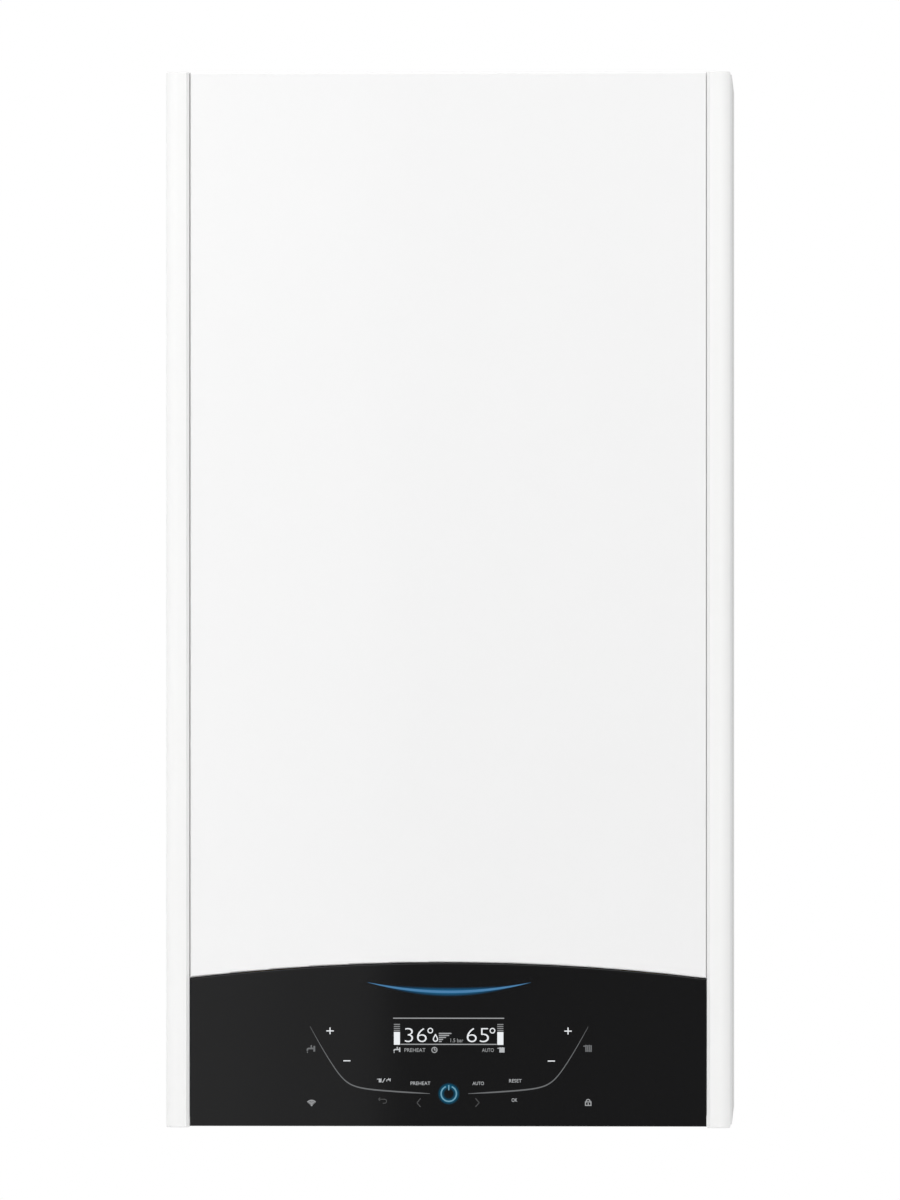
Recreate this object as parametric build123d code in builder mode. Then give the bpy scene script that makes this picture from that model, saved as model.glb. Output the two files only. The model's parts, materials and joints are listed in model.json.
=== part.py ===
from build123d import *
import os
from math import cos, radians, sin

os.makedirs("parts", exist_ok=True)

# Wall-hung combi boiler, in millimetres. The origin is on the wall, in the middle of the wall
# bracket's row of screws; X runs to the right, the front faces -Y, and Z is up.
# Heights below are measured from the casing's bottom edge, depths from the wall.

# Casing
casing_width = 400.0
casing_height = 745.0
casing_depth = 319.0
bracket_drop = 55.0  # wall screws below the casing's top edge
sheet = 1.0  # painted casing sheet
frame_sheet = 1.2  # zinc-coated frame sheet
flange_width = 28.0  # side panel's folded edges
panel_margin = 1.5  # side panel stops this far from the trim's ends
panel_corner = 1.5
back_gap = 10.8  # room behind the back plate for the wall bracket
back_lip = 15.0
top_recess = 17.0  # underside of the top plate below the casing's top edge
top_recess_lip = 13.0
bottom_level = 45.0  # underside of the bottom plate
bottom_clearance = 12.0  # bottom plate's front edge to the tilting control box
bottom_lip = 12.0
plate_clearance = 1.0  # around what passes the bottom plate
cup_way = 3.0

# Corner trims
trim_width = 16.4
trim_inset = 1.0  # trim stands inside the side panel's face
trim_depth = 24.0
trim_wall = 2.0
trim_bevel = 2.2  # bright bevel beside the door
trim_flat = 6.0
trim_fall = 3.5  # how far the trim's face curves back to its outer edge
trim_end_round = 1.2

# Door and its seal
door_gap = 0.3
door_setback = 3.5
door_round = 1.2
door_top_gap = 0.2
seal_width = 8.0
seal_thickness = 3.0
seal_edge_gap = 2.0
lip_width = 13.0
lip_low_height = 14.0
lip_top_height = 45.0
seal_top_gap = 20.0
seal_low_height = 119.5
door_tab_width = 24.0
door_tab_spacing = 240.0
door_tab_length = 18.0
rail_height = 116.0  # underside of the lower cross rail
rail_leg = 20.0
lower_rail_face = 22.0
upper_rail_face = 32.0
pin_radius = 3.0
pin_reach = 11.0
pin_drop = 39.0
pin_clearance = 0.3
screw_radius = 2.0
screw_head_radius = 4.0
screw_head = 3.0
screw_margin = 1.0
screw_tip = 8.0
screw_slot_clearance = 0.3

# Control panel
glass_gap = 0.3
glass_setback = 3.0
glass_thickness = 4.0
glass_low = 0.9
arch_side_height = 104.8
arch_mid_height = 115.9
arch_seam = 0.6
glass_edge = 0.5
tray_inset = 4.0
tray_depth = 25.0
box_half = 150.0
box_low = 8.0
box_high = 84.0
box_depth = 77.0
mould_wall = 2.5
cover_thickness = 2.5
pivot_setback = 19.0
pivot_height = 15.0
pivot_radius = 3.0
pivot_clearance = 0.05
ear_radius = 8.0
ear_thickness = 5.0
ear_gap = 1.0
hinge_below = 9.6  # hinge bracket below the pivot
display_width = 95.0
display_height = 38.0
display_thickness = 8.0
display_centre = 68.0
board_thickness = 1.6
board_gap = 0.5
post_radius = 3.5
transformer_width = 42.0
transformer_height = 36.0
transformer_across = 100.0
relay_width = 16.0
relay_height = 20.0
relay_pitch = 22.0
relay_count = 3
relay_across = 50.0
relay_rise = 14.0
plug_width = 18.0
plug_height = 9.0
plug_pitch = 24.0
plug_count = 7
plug_across = 40.0
plug_drop = 22.0
board_parts_depth = 24.0
gland_radius = 7.0
gland_spacing = 45.0
gland_count = 3

# Wall bracket
bracket_half = 160.0
bracket_sheet = 2.5
bracket_hole_radius = 4.5
bracket_end = 20.0  # wall screw to the bracket's end
bracket_below = 18.0
bracket_above = 32.0
bracket_pocket = 6.0
hook_width = 40.0
hook_spacing = 160.0
hook_drop = 9.0
hook_sheet = 1.5
driver_hole_radius = 10.0

# Flue
flue_depth = 125.0
flue_bore = 30.2
flue_wall = 2.5
air_collar_bore = 50.2
collar_drop = 2.0
flue_plate_half = 66.0
flue_plate = 3.0
flue_screw_circle = 150.0
flue_screw_radius = 2.2
flue_pipe_radius = 27.0
flue_pipe_room = 2.0  # to slide up in the socket
flue_socket_drop = 28.0
air_cover_across = 130.0
air_cover_radius = 34.0

# Heat exchanger
drum_height = 430.0
drum_radius = 108.0
drum_rear = 96.0
drum_setback = 93.0  # drum's front behind the casing's front
drum_wall = 4.0
drum_flange_radius = 116.0
drum_flange = 5.0
coil_outer = 98.0
coil_inner = 62.0
coil_room = 42.0  # left in front of and behind the coil
spigot_spacing = 120.0
spigot_wall = 3.0
flue_spigot_rise = 18.0  # above the drum's top
spigot_reach = 110.0  # below the drum's axis
drain_spigot_reach = 124.0
water_pipe_radius = 9.0
electrode_places = [(-38.0, -42.0), (-16.0, -54.0)]
insulator_radius = 4.0
insulator_collar = 6.0
electrode_radius = 1.5
burner_radius = 35.0
burner_reach = 7.0  # burner longer than the coil
burner_wall = 1.5
door_plate = 10.0
dome_radius = 46.0
duct_width = 40.0
duct_height = 26.0
duct_flange = 6.0

# Fan
fan_inset = 100.0  # fan's axis from the casing's left side
fan_drop = 96.0  # fan's axis below the top plate
fan_gap = 2.0  # fan housing's rear in front of the drum's flange
fan_width = 40.0
fan_wall = 2.5
scroll_start = 53.0
scroll_growth = 16.0
scroll_arcs = 4
outlet_width = 40.0
outlet_drop = 70.0
impeller_radius = 42.0
impeller_eye = 20.0
impeller_hub = 9.0
blade_count = 11
blade_thickness = 1.6
blade_lean = 38.0
fan_running_gap = 4.0
shaft_radius = 4.0
shaft_clearance = 0.05
blind_room = 1.0  # blind holes are this much deeper than their pins
hub_room = 1.0
fan_motor_radius = 36.0
fan_motor_length = 50.0
shaft_seat = 24.0
mixer_radius = 31.0
mixer_depth = 22.0
mixer_rim = 1.0
mixer_gas_reach = 12.0
silencer_width = 36.0
silencer_below = 36.0
silencer_above = 68.0
silencer_behind = 21.0
silencer_ahead = 12.0

# Igniter on the right side panel
igniter_rear = 200.0
igniter_low = 500.0
igniter_width = 34.0
igniter_depth = 48.0
igniter_height = 60.0
igniter_tower = 10.0

# Gas line
gas_pipe_radius = 7.5
gas_feed_radius = 6.0
gas_corner = 14.0
water_corner = 14.0
water_run = 26.0  # straight run at a water pipe's end
water_drop = 70.0  # flow pipe's side step, under the drum's spigot
valve_across = 0.0
valve_gap = 16.5  # gas riser in front of the plate exchanger
valve_low = 200.0
valve_body = 84.0
valve_outlet_rise = 36.0
valve_spigot = 8.0
valve_corner = 4.0
outlet_reach = 10.0
port_wall = 3.0
port_nut = 5.0
solenoid_gap = 2.0
valve_width = 56.0
valve_length = 64.0
solenoid_radius = 15.0

# Water side
tail_pitch = 67.0
tail_depth = 150.0
tail_low = 9.0
heating_tail_radius = 13.2
water_tail_radius = 10.5
tail_thread = 16.0
tail_collar = 3.0
tail_wall = 2.0
tail_joint = 7.0  # tails end this far under the manifold's arm
port_inset = 24.0
group_height = 80.0
tower_radius = 22.0
tower_top = 172.0
arm_radius = 13.0
chamber_radius = 14.0
stub_radius = 12.0  # upright stubs on both groups
return_tower_radius = 18.0
chamber_rear = 140.0
diverter_height = 132.0
diverter_face = 175.0
spindle_radius = 3.0
spindle_clearance = 0.05
plunger_radius = 12.0
plunger_thickness = 6.0
plunger_rear = 146.0
actuator_width = 46.0
actuator_length = 40.0
actuator_bore_radius = 6.0
actuator_corner = 5.0
plate_half = 76.0
plate_low = 104.0
plate_high = 170.0
plate_rear = 128.0
plate_stack = 46.0
plate_count = 6
plate_groove = 1.6
plate_corner = 12.0
pump_across = 134.0
pump_height = 178.0
volute_radius = 46.0
volute_depth = 44.0
volute_wall = 4.0
rotor_radius = 32.0
rotor_width = 14.0
pump_motor_radius = 41.0
pump_motor_length = 84.0
pump_port = 120.0
pump_inlet_radius = 16.0
pump_outlet = 234.0
outlet_offset = 24.0
vent_offset = 18.0
vent_foot = 230.0
vent_socket = 8.0
vent_cap_height = 9.0
pump_fins = 10
vent_radius = 13.0
vent_neck_radius = 10.0
vent_height = 38.0
vent_cap_radius = 7.0
relief_body = 20.0
relief_radius = 11.0
relief_knob_radius = 13.0
relief_knob_length = 16.0
relief_knob_edge = 2.0
relief_drain_radius = 6.0
relief_pipe_radius = 7.0
spigot_length = 24.0  # of the two push-on drain spigots
relief_stem = 3.0
filling_across = 100.5
filling_radius = 8.0
filling_low = 26.0
filling_knob_radius = 11.0
filling_knob_height = 16.0
filling_stem_radius = 3.0

# Expansion vessel
vessel_half = 150.0
vessel_low = 245.0
vessel_high = 640.0
vessel_thickness = 72.0
vessel_corner = 30.0
vessel_pipe_radius = 5.0
vessel_port = 10.0
vessel_seam = 8.0

# Condensate trap
trap_across = 0.0
trap_depth = 104.0
trap_radius = 23.0
trap_top = 168.0
cup_radius = 18.5
cup_low = 22.0
cup_high = 96.0
cup_clearance = 0.5
hose_radius = 9.0

drain_across = 36.0
drain_radius = 10.5
drain_pipe_radius = 8.5
hose_socket = 8.0
cup_headroom = 4.0
drain_height = 130.0

# Places worked out from the sizes above
bracket_height = casing_height - bracket_drop
bracket_low = bracket_height - bracket_below
bracket_top = bracket_height + bracket_above
casing_bottom_z = -bracket_height
top_level = casing_height - top_recess
seal_top_height = casing_height - seal_top_gap
pin_height = casing_height - pin_drop
collar_rim = casing_height - collar_drop
flue_socket_low = top_level - flue_socket_drop
half_width = casing_width / 2
inner_half = half_width - sheet
trim_outer = half_width - trim_inset
trim_inner = trim_outer - trim_width
rail_depth = casing_depth - trim_depth
door_half = trim_inner - door_gap
door_front = casing_depth - door_setback
door_rear = rail_depth + seal_thickness
door_top = casing_height - door_top_gap
door_side_height = arch_side_height + arch_seam
door_mid_height = arch_mid_height + arch_seam
glass_half = trim_inner - glass_gap
glass_front = casing_depth - glass_setback
glass_rear = glass_front - glass_thickness
tray_rear = glass_rear - tray_depth
box_rear = tray_rear - box_depth
pivot_depth = tray_rear - pivot_setback
bottom_reach = box_rear - bottom_clearance
door_tab_rear = door_rear - door_tab_length
tab_mid = -(door_tab_rear + door_rear) / 2
bracket_hole_spacing = 2 * (bracket_half - bracket_end)
drum_front = casing_depth - drum_setback
coil_length = drum_front - drum_rear - coil_room
burner_length = coil_length + burner_reach
fan_across = fan_inset - half_width
fan_rear = drum_front + fan_gap
fan_height = top_level - fan_drop
outlet_low = fan_height - outlet_drop
valve_depth = plate_rear + plate_stack + valve_gap + gas_pipe_radius
valve_high = valve_low + valve_body
valve_outlet_height = valve_low + valve_outlet_rise
flange_edge = half_width - flange_width
back_front = back_gap + frame_sheet
top_surface = top_level + frame_sheet
bottom_surface = bottom_level + frame_sheet
tail_places = [(-2 + count) * tail_pitch for count in range(5)]
flow_across = tail_places[0]
hot_across = tail_places[1]
gas_across = tail_places[2]
cold_across = tail_places[3]
return_across = tail_places[4]
relief_across = (flow_across + hot_across) / 2
relief_rear = tail_depth + arm_radius + relief_stem
relief_mid = relief_rear + relief_body / 2
volute_rear = tail_depth - volute_depth / 2
flow_spigot_across = -spigot_spacing / 2
return_spigot_across = spigot_spacing / 2
spigot_low = drum_height - spigot_reach
drain_spigot_low = drum_height - drain_spigot_reach
tail_top = group_height - arm_radius - tail_joint
port_across = plate_half - port_inset
outlet_across = return_across - outlet_offset
vent_across = return_across + vent_offset
vessel_mid = back_front + vessel_thickness / 2


def face_at(depth):
    """Plane parallel to the wall, seen from the front: x across, y the height."""
    return Plane(origin=(0, -depth, casing_bottom_z), x_dir=(1, 0, 0), z_dir=(0, -1, 0))


def level_at(height):
    """Level plane: x across, y towards the wall."""
    return Plane(origin=(0, 0, casing_bottom_z + height), x_dir=(1, 0, 0), z_dir=(0, 0, 1))


def side_at(across):
    """Upright plane square to the wall: x the depth, y the height, facing left."""
    return Plane(origin=(across, 0, casing_bottom_z), x_dir=(0, -1, 0), z_dir=(-1, 0, 0))


def place(across, depth, height):
    """A point given by its place across, its depth from the wall and its height."""
    return Vector(across, -depth, casing_bottom_z + height)


def span(low_x, high_x, low_y, high_y):
    """A rectangle between two corners of the sketch plane."""
    with BuildSketch() as made:
        with Locations(((low_x + high_x) / 2, (low_y + high_y) / 2)):
            Rectangle(high_x - low_x, high_y - low_y)
    return made.sketch


def arched(half, low, side_height, mid_height):
    """Outline with a straight lower edge and an arched top."""
    with BuildSketch() as made:
        with BuildLine():
            Polyline((-half, side_height), (-half, low), (half, low), (half, side_height))
            ThreePointArc((half, side_height), (0, mid_height), (-half, side_height))
        make_face()
    return made.sketch


def over_arch(half, side_height, mid_height, high):
    """Outline with an arched lower edge and a straight top."""
    with BuildSketch() as made:
        with BuildLine():
            Polyline((-half, side_height), (-half, high), (half, high), (half, side_height))
            ThreePointArc((half, side_height), (0, mid_height), (-half, side_height))
        make_face()
    return made.sketch


def tube(points, corner, radius):
    """A round pipe along a route whose corners are cut back to two gentle mitres."""
    route = [points[0]]
    for before, here, after in zip(points, points[1:], points[2:]):
        route.append(here + (before - here).normalized() * corner)
        route.append(here + (after - here).normalized() * corner)
    route.append(points[-1])
    with BuildPart() as made:
        with BuildLine() as path:
            Polyline(*route)
        with BuildSketch(Plane(origin=route[0], z_dir=route[1] - route[0])):
            Circle(radius)
        sweep(path=path.line, transition=Transition.RIGHT)
    return made.part


# ---------------------------------------------------------------- casing and frame

for side, word in ((-1, "left"), (1, "right")):
    with BuildPart() as side_panel:
        with BuildSketch(level_at(panel_margin)):
            with Locations((side * (half_width - flange_width / 2), -rail_depth / 2)):
                Rectangle(flange_width, rail_depth)
            with Locations((side * (inner_half - flange_width / 2), -rail_depth / 2)):
                Rectangle(flange_width, rail_depth - 2 * sheet, mode=Mode.SUBTRACT)
        extrude(amount=casing_height - 2 * panel_margin)
        outer = side_panel.edges().filter_by(Axis.Z).group_by(Axis.X)[-1 if side > 0 else 0]
        fillet(outer, panel_corner)
        # the front flange is narrow beside the control panel
        with BuildSketch(face_at(rail_depth)):
            with Locations((side * (trim_inner + sheet - flange_width / 2), rail_height / 2)):
                Rectangle(flange_width, rail_height)
        extrude(amount=-sheet, mode=Mode.SUBTRACT)
    side_panel.part.label = f"side_panel_{word}"
    export_step(side_panel.part, f"parts/side_panel_{word}.step")

    with BuildPart() as side_trim:
        with BuildSketch(level_at(0)):
            with BuildLine():
                start = (side * (trim_inner + trim_bevel + trim_flat), -casing_depth)
                finish = (side * trim_outer, -casing_depth + trim_fall)
                TangentArc(start, finish, tangent=(side, 0))
                Polyline(
                    finish,
                    (side * trim_outer, -rail_depth),
                    (side * trim_inner, -rail_depth),
                    (side * trim_inner, -casing_depth + trim_bevel),
                    (side * (trim_inner + trim_bevel), -casing_depth),
                    start,
                )
            make_face()
        extrude(amount=casing_height)
        corner = side_trim.edges().filter_by(Axis.Z).group_by(Axis.X)[-1 if side > 0 else 0]
        fillet(corner.sort_by(Axis.Y)[0], trim_end_round)
        ends = side_trim.faces().filter_by(Axis.Z)
        rims = ends.edges().filter_by(lambda edge: edge.center().Y < -rail_depth - trim_wall)
        chamfer(rims, trim_end_round / 2)
        offset(amount=-trim_wall, openings=side_trim.faces().sort_by(Axis.Y)[-1])
    side_trim.part.label = f"side_trim_{word}"
    export_step(side_trim.part, f"parts/side_trim_{word}.step")

# Back plate: a shallow tray open to the front, with hooks pressed out to the rear
with BuildPart() as back_plate:
    with BuildSketch(face_at(back_gap)):
        add(span(-inner_half, inner_half, bottom_surface, top_level))
    extrude(amount=back_lip)
    offset(amount=-frame_sheet, openings=back_plate.faces().sort_by(Axis.Y)[0])
    with BuildSketch(face_at(back_gap)):
        with Locations((0, bracket_height)):
            with GridLocations(bracket_hole_spacing, 0, 2, 1):
                Circle(driver_hole_radius)
        with Locations((0, bracket_top - hook_drop)):
            with GridLocations(hook_spacing, 0, 2, 1):
                Rectangle(hook_width, 2 * hook_drop)
    extrude(amount=frame_sheet, mode=Mode.SUBTRACT)
    hook_rear = bracket_pocket - hook_sheet - board_gap
    for across in (-hook_spacing / 2, hook_spacing / 2):
        with BuildSketch(side_at(across)):
            add(span(hook_rear, back_front, bracket_top, bracket_top + hook_sheet))
            add(span(hook_rear, hook_rear + hook_sheet, bracket_top - hook_drop, bracket_top + hook_sheet))
        extrude(amount=hook_width / 2, both=True)
back_plate.part.label = "back_plate"
export_step(back_plate.part, "parts/back_plate.step")

# Wall bracket: a folded rail whose upper leg stands off the wall
with BuildPart() as wall_bracket:
    standing = bracket_pocket + bracket_sheet
    shoulder = bracket_top - 2 * hook_drop
    with BuildSketch(side_at(0)):
        add(span(0, bracket_sheet, bracket_low, shoulder + bracket_sheet))
        add(span(0, standing, shoulder, shoulder + bracket_sheet))
        add(span(bracket_pocket, standing, shoulder, bracket_top))
    extrude(amount=bracket_half, both=True)
    with BuildSketch(face_at(0)):
        with Locations((0, bracket_height)):
            with GridLocations(bracket_hole_spacing, 0, 2, 1):
                Circle(bracket_hole_radius)
    extrude(amount=bracket_sheet, mode=Mode.SUBTRACT)
wall_bracket.part.label = "wall_bracket"
export_step(wall_bracket.part, "parts/wall_bracket.step")

# Top plate: a recessed tray open upwards, with the flue and air openings
with BuildPart() as top_plate:
    with BuildSketch(level_at(top_level)):
        add(span(-inner_half, inner_half, -rail_depth + sheet, -back_gap))
    extrude(amount=top_recess_lip)
    offset(amount=-frame_sheet, openings=top_plate.faces().sort_by(Axis.Z)[-1])
    with BuildSketch(level_at(top_level)):
        with Locations((0, -flue_depth)):
            Circle(air_collar_bore)
            with PolarLocations(flue_screw_circle / 2, 4, start_angle=45):
                Circle(flue_screw_radius)
        with Locations((air_cover_across, -flue_depth)):
            Circle(air_cover_radius - back_lip / 2)
    extrude(amount=frame_sheet, mode=Mode.SUBTRACT)
top_plate.part.label = "top_plate"
export_step(top_plate.part, "parts/top_plate.step")

# Bottom plate: a tray open downwards, pierced for the pipe tails, trap and drains
with BuildPart() as bottom_plate:
    with BuildSketch(level_at(bottom_surface - bottom_lip)):
        add(span(-inner_half, inner_half, -bottom_reach, -back_gap))
    extrude(amount=bottom_lip)
    offset(amount=-frame_sheet, openings=bottom_plate.faces().sort_by(Axis.Z)[0])
    with BuildSketch(level_at(bottom_level)):
        for across in tail_places:
            with Locations((across, -tail_depth)):
                Circle(heating_tail_radius + plate_clearance)
        with Locations((trap_across, -trap_depth)):
            Circle(cup_radius + cup_way)
        with Locations((relief_across, -relief_mid)):
            Circle(relief_pipe_radius + plate_clearance)
        with Locations((filling_across, -tail_depth)):
            Circle(filling_radius + plate_clearance)
        with Locations((drain_across, -trap_depth)):
            Circle(drain_radius + plate_clearance)
    extrude(amount=frame_sheet, mode=Mode.SUBTRACT)
bottom_plate.part.label = "bottom_plate"
export_step(bottom_plate.part, "parts/bottom_plate.step")

# Cross rails: angles that carry the door seal between the side panels
with BuildPart() as lower_cross_rail:
    with BuildSketch(face_at(rail_depth - sheet)):
        add(span(-flange_edge, flange_edge, rail_height, rail_height + lower_rail_face))
    extrude(amount=sheet)
    with BuildSketch(level_at(rail_height)):
        add(span(-inner_half, inner_half, -rail_depth + sheet, -rail_depth + sheet + rail_leg))
        with Locations((0, tab_mid)):
            with GridLocations(door_tab_spacing, 0, 2, 1):
                Circle(screw_radius, mode=Mode.SUBTRACT)
    extrude(amount=frame_sheet)
lower_cross_rail.part.label = "lower_cross_rail"
export_step(lower_cross_rail.part, "parts/lower_cross_rail.step")

with BuildPart() as upper_cross_rail:
    with BuildSketch(face_at(rail_depth - sheet)):
        add(span(-flange_edge, flange_edge, top_level - upper_rail_face, top_level))
        with Locations((0, pin_height)):
            with GridLocations(door_tab_spacing, 0, 2, 1):
                Circle(pin_radius, mode=Mode.SUBTRACT)
    extrude(amount=sheet)
    with BuildSketch(level_at(top_level - frame_sheet)):
        add(span(-inner_half, inner_half, -rail_depth + sheet, -rail_depth + sheet + rail_leg))
    extrude(amount=frame_sheet)
upper_cross_rail.part.label = "upper_cross_rail"
export_step(upper_cross_rail.part, "parts/upper_cross_rail.step")

with BuildPart() as door_pins:
    with BuildSketch(face_at(rail_depth - sheet)):
        with Locations((0, pin_height)):
            with GridLocations(door_tab_spacing, 0, 2, 1):
                Circle(pin_radius)
    extrude(amount=pin_reach)
    chamfer(door_pins.faces().group_by(Axis.Y)[0].edges(), pin_radius / 3)
door_pins.part.label = "door_pins"
export_step(door_pins.part, "parts/door_pins.step")

# ---------------------------------------------------------------- front door

with BuildPart() as front_door:
    with BuildSketch(face_at(door_rear)):
        add(over_arch(door_half, door_side_height, door_mid_height, door_top))
    extrude(amount=door_front - door_rear)
    fillet(front_door.faces().sort_by(Axis.Y)[0].edges(), door_round)
    offset(amount=-sheet, openings=front_door.faces().sort_by(Axis.Y)[-1])
    # returned lip, wider at the top where it drops over the locating pins
    with BuildSketch(face_at(door_rear)):
        add(over_arch(door_half - sheet, door_side_height + sheet, door_mid_height + sheet, door_top - sheet))
        lip_half = door_half - lip_width
        add(
            span(-lip_half, lip_half, door_mid_height + lip_low_height, door_top - lip_top_height),
            mode=Mode.SUBTRACT,
        )
        with Locations((0, pin_height)):
            with GridLocations(door_tab_spacing, 0, 2, 1):
                Circle(pin_radius + pin_clearance, mode=Mode.SUBTRACT)
    extrude(amount=sheet)
    # slotted tabs under the lower rail, open to the rear for the clamping screws
    with BuildSketch(level_at(rail_height - sheet)):
        slot_half = screw_radius + screw_slot_clearance
        for across in (-door_tab_spacing / 2, door_tab_spacing / 2):
            with Locations((across, tab_mid)):
                Rectangle(door_tab_width, door_tab_length)
                Circle(slot_half, mode=Mode.SUBTRACT)
            add(span(across - slot_half, across + slot_half, tab_mid, -door_tab_rear), mode=Mode.SUBTRACT)
    extrude(amount=sheet)
front_door.part.label = "front_door"
export_step(front_door.part, "parts/front_door.step")

with BuildPart() as door_seal:
    seal_half = door_half - seal_edge_gap
    with BuildSketch(face_at(rail_depth)):
        add(span(-seal_half, seal_half, seal_low_height, seal_top_height))
        inner_seal = seal_half - seal_width
        add(
            span(-inner_seal, inner_seal, seal_low_height + seal_width, seal_top_height - seal_width),
            mode=Mode.SUBTRACT,
        )
    extrude(amount=seal_thickness)
door_seal.part.label = "door_seal"
export_step(door_seal.part, "parts/door_seal.step")

with BuildPart() as casing_screws:
    with Locations((0, tab_mid, casing_bottom_z + rail_height - sheet)):
        with GridLocations(door_tab_spacing, 0, 2, 1):
            Cylinder(screw_radius, screw_tip, align=(Align.CENTER, Align.CENTER, Align.MIN))
            Cylinder(screw_head_radius, screw_head, align=(Align.CENTER, Align.CENTER, Align.MAX))
casing_screws.part.label = "casing_screws"
export_step(casing_screws.part, "parts/casing_screws.step")

# ---------------------------------------------------------------- control panel

with BuildPart() as control_glass:
    with BuildSketch(face_at(glass_rear)):
        add(arched(glass_half, glass_low, arch_side_height, arch_mid_height))
    extrude(amount=glass_thickness)
    chamfer(control_glass.faces().sort_by(Axis.Y)[0].edges(), glass_edge)
control_glass.part.label = "control_glass"
export_step(control_glass.part, "parts/control_glass.step")

tray_half = glass_half - tray_inset
tray_low = glass_low + tray_inset
ear_outer = tray_half
hinge_inner = ear_outer + ear_gap

with BuildPart() as control_housing:
    # front tray behind the glass
    with BuildSketch(face_at(tray_rear)):
        add(arched(tray_half, tray_low, arch_side_height - tray_inset, arch_mid_height - tray_inset))
    extrude(amount=glass_rear - tray_rear)
    # electronics box behind the tray
    with BuildSketch(face_at(box_rear)):
        add(span(-box_half, box_half, box_low, box_high))
    extrude(amount=tray_rear - box_rear)
    # hollow tray
    with BuildSketch(face_at(tray_rear + mould_wall)):
        inner_tray = tray_half - mould_wall
        add(
            arched(
                inner_tray,
                tray_low + mould_wall,
                arch_side_height - tray_inset - mould_wall,
                arch_mid_height - tray_inset - mould_wall,
            )
        )
    extrude(amount=glass_rear - tray_rear - mould_wall, mode=Mode.SUBTRACT)
    # hollow box, open to the rear
    with BuildSketch(face_at(box_rear)):
        inner_box = box_half - mould_wall
        add(span(-inner_box, inner_box, box_low + mould_wall, box_high - mould_wall))
    extrude(amount=tray_rear - box_rear, mode=Mode.SUBTRACT)
    # window for the display and its cable
    with BuildSketch(face_at(tray_rear)):
        with Locations((0, display_centre - display_height / 2)):
            Rectangle(display_width, display_height / 2)
    extrude(amount=mould_wall, mode=Mode.SUBTRACT)
    # posts for the main board
    with BuildSketch(face_at(tray_rear)):
        with Locations((0, (box_low + box_high) / 2)):
            post_columns = 2 * box_half - 8 * post_radius
            post_rows = box_high - box_low - 6 * post_radius
            with GridLocations(post_columns, post_rows, 2, 2):
                Circle(post_radius)
    extrude(amount=-(tray_rear - box_rear) / 2)
    # hinge ears
    for side in (-1, 1):
        with BuildSketch(side_at(side * ear_outer)):
            with Locations((pivot_depth, pivot_height)):
                Circle(ear_radius)
            ear_low = pivot_height - ear_radius
            add(span(pivot_depth, tray_rear + mould_wall, ear_low, ear_low + 2 * ear_radius))
        extrude(amount=side * ear_thickness)
    for side in (-1, 1):
        with BuildSketch(side_at(side * ear_outer)):
            with Locations((pivot_depth, pivot_height)):
                Circle(pivot_radius + pivot_clearance)
        extrude(amount=side * ear_thickness, mode=Mode.SUBTRACT)
control_housing.part.label = "control_housing"
export_step(control_housing.part, "parts/control_housing.step")

with BuildPart() as display_module:
    with BuildSketch(face_at(glass_rear - display_thickness)):
        with Locations((0, display_centre)):
            Rectangle(display_width, display_height)
    extrude(amount=display_thickness)
display_module.part.label = "display_module"
export_step(display_module.part, "parts/display_module.step")

with BuildPart() as touch_board:
    board_half = tray_half - 2 * mould_wall
    with BuildSketch(face_at(glass_rear - board_thickness)):
        add(
            arched(
                board_half,
                tray_low + 2 * mould_wall,
                arch_side_height - tray_inset - 2 * mould_wall,
                arch_mid_height - tray_inset - 2 * mould_wall,
            )
        )
        with Locations((0, display_centre)):
            Rectangle(display_width + 2 * board_gap, display_height + 2 * board_gap, mode=Mode.SUBTRACT)
    extrude(amount=board_thickness)
touch_board.part.label = "touch_board"
export_step(touch_board.part, "parts/touch_board.step")

with BuildPart() as main_board:
    board_rear = (tray_rear + box_rear) / 2 - board_thickness
    board_mid = (box_low + box_high) / 2
    with BuildSketch(face_at(board_rear)):
        with Locations((0, board_mid)):
            Rectangle(2 * (box_half - 2 * mould_wall), box_high - box_low - 4 * mould_wall)
    extrude(amount=board_thickness)
    # transformer, relays, capacitors and connectors on the rear face
    with BuildSketch(face_at(board_rear)):
        with Locations((-transformer_across, board_mid)):
            Rectangle(transformer_width, transformer_height)
        with Locations((-relay_across, board_mid + relay_rise)):
            with GridLocations(relay_pitch, 0, relay_count, 1):
                Rectangle(relay_width, relay_height)
    extrude(amount=-board_parts_depth)
    with BuildSketch(face_at(board_rear)):
        with Locations((plug_across, board_mid - plug_drop)):
            with GridLocations(plug_pitch, 0, plug_count, 1):
                Rectangle(plug_width, plug_height)
    extrude(amount=-board_parts_depth / 2)
main_board.part.label = "main_board"
export_step(main_board.part, "parts/main_board.step")

with BuildPart() as box_cover:
    with BuildSketch(face_at(box_rear - cover_thickness)):
        add(span(-box_half, box_half, box_low, box_high))
        with Locations((0, box_low + 2 * gland_radius)):
            with GridLocations(gland_spacing, 0, gland_count, 1):
                Circle(gland_radius, mode=Mode.SUBTRACT)
    extrude(amount=cover_thickness)
box_cover.part.label = "box_cover"
export_step(box_cover.part, "parts/box_cover.step")

with BuildPart() as cable_glands:
    with BuildSketch(face_at(box_rear - cover_thickness)):
        with Locations((0, box_low + 2 * gland_radius)):
            with GridLocations(gland_spacing, 0, gland_count, 1):
                Circle(gland_radius)
    extrude(amount=cover_thickness + mould_wall)
cable_glands.part.label = "cable_glands"
export_step(cable_glands.part, "parts/cable_glands.step")

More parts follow.
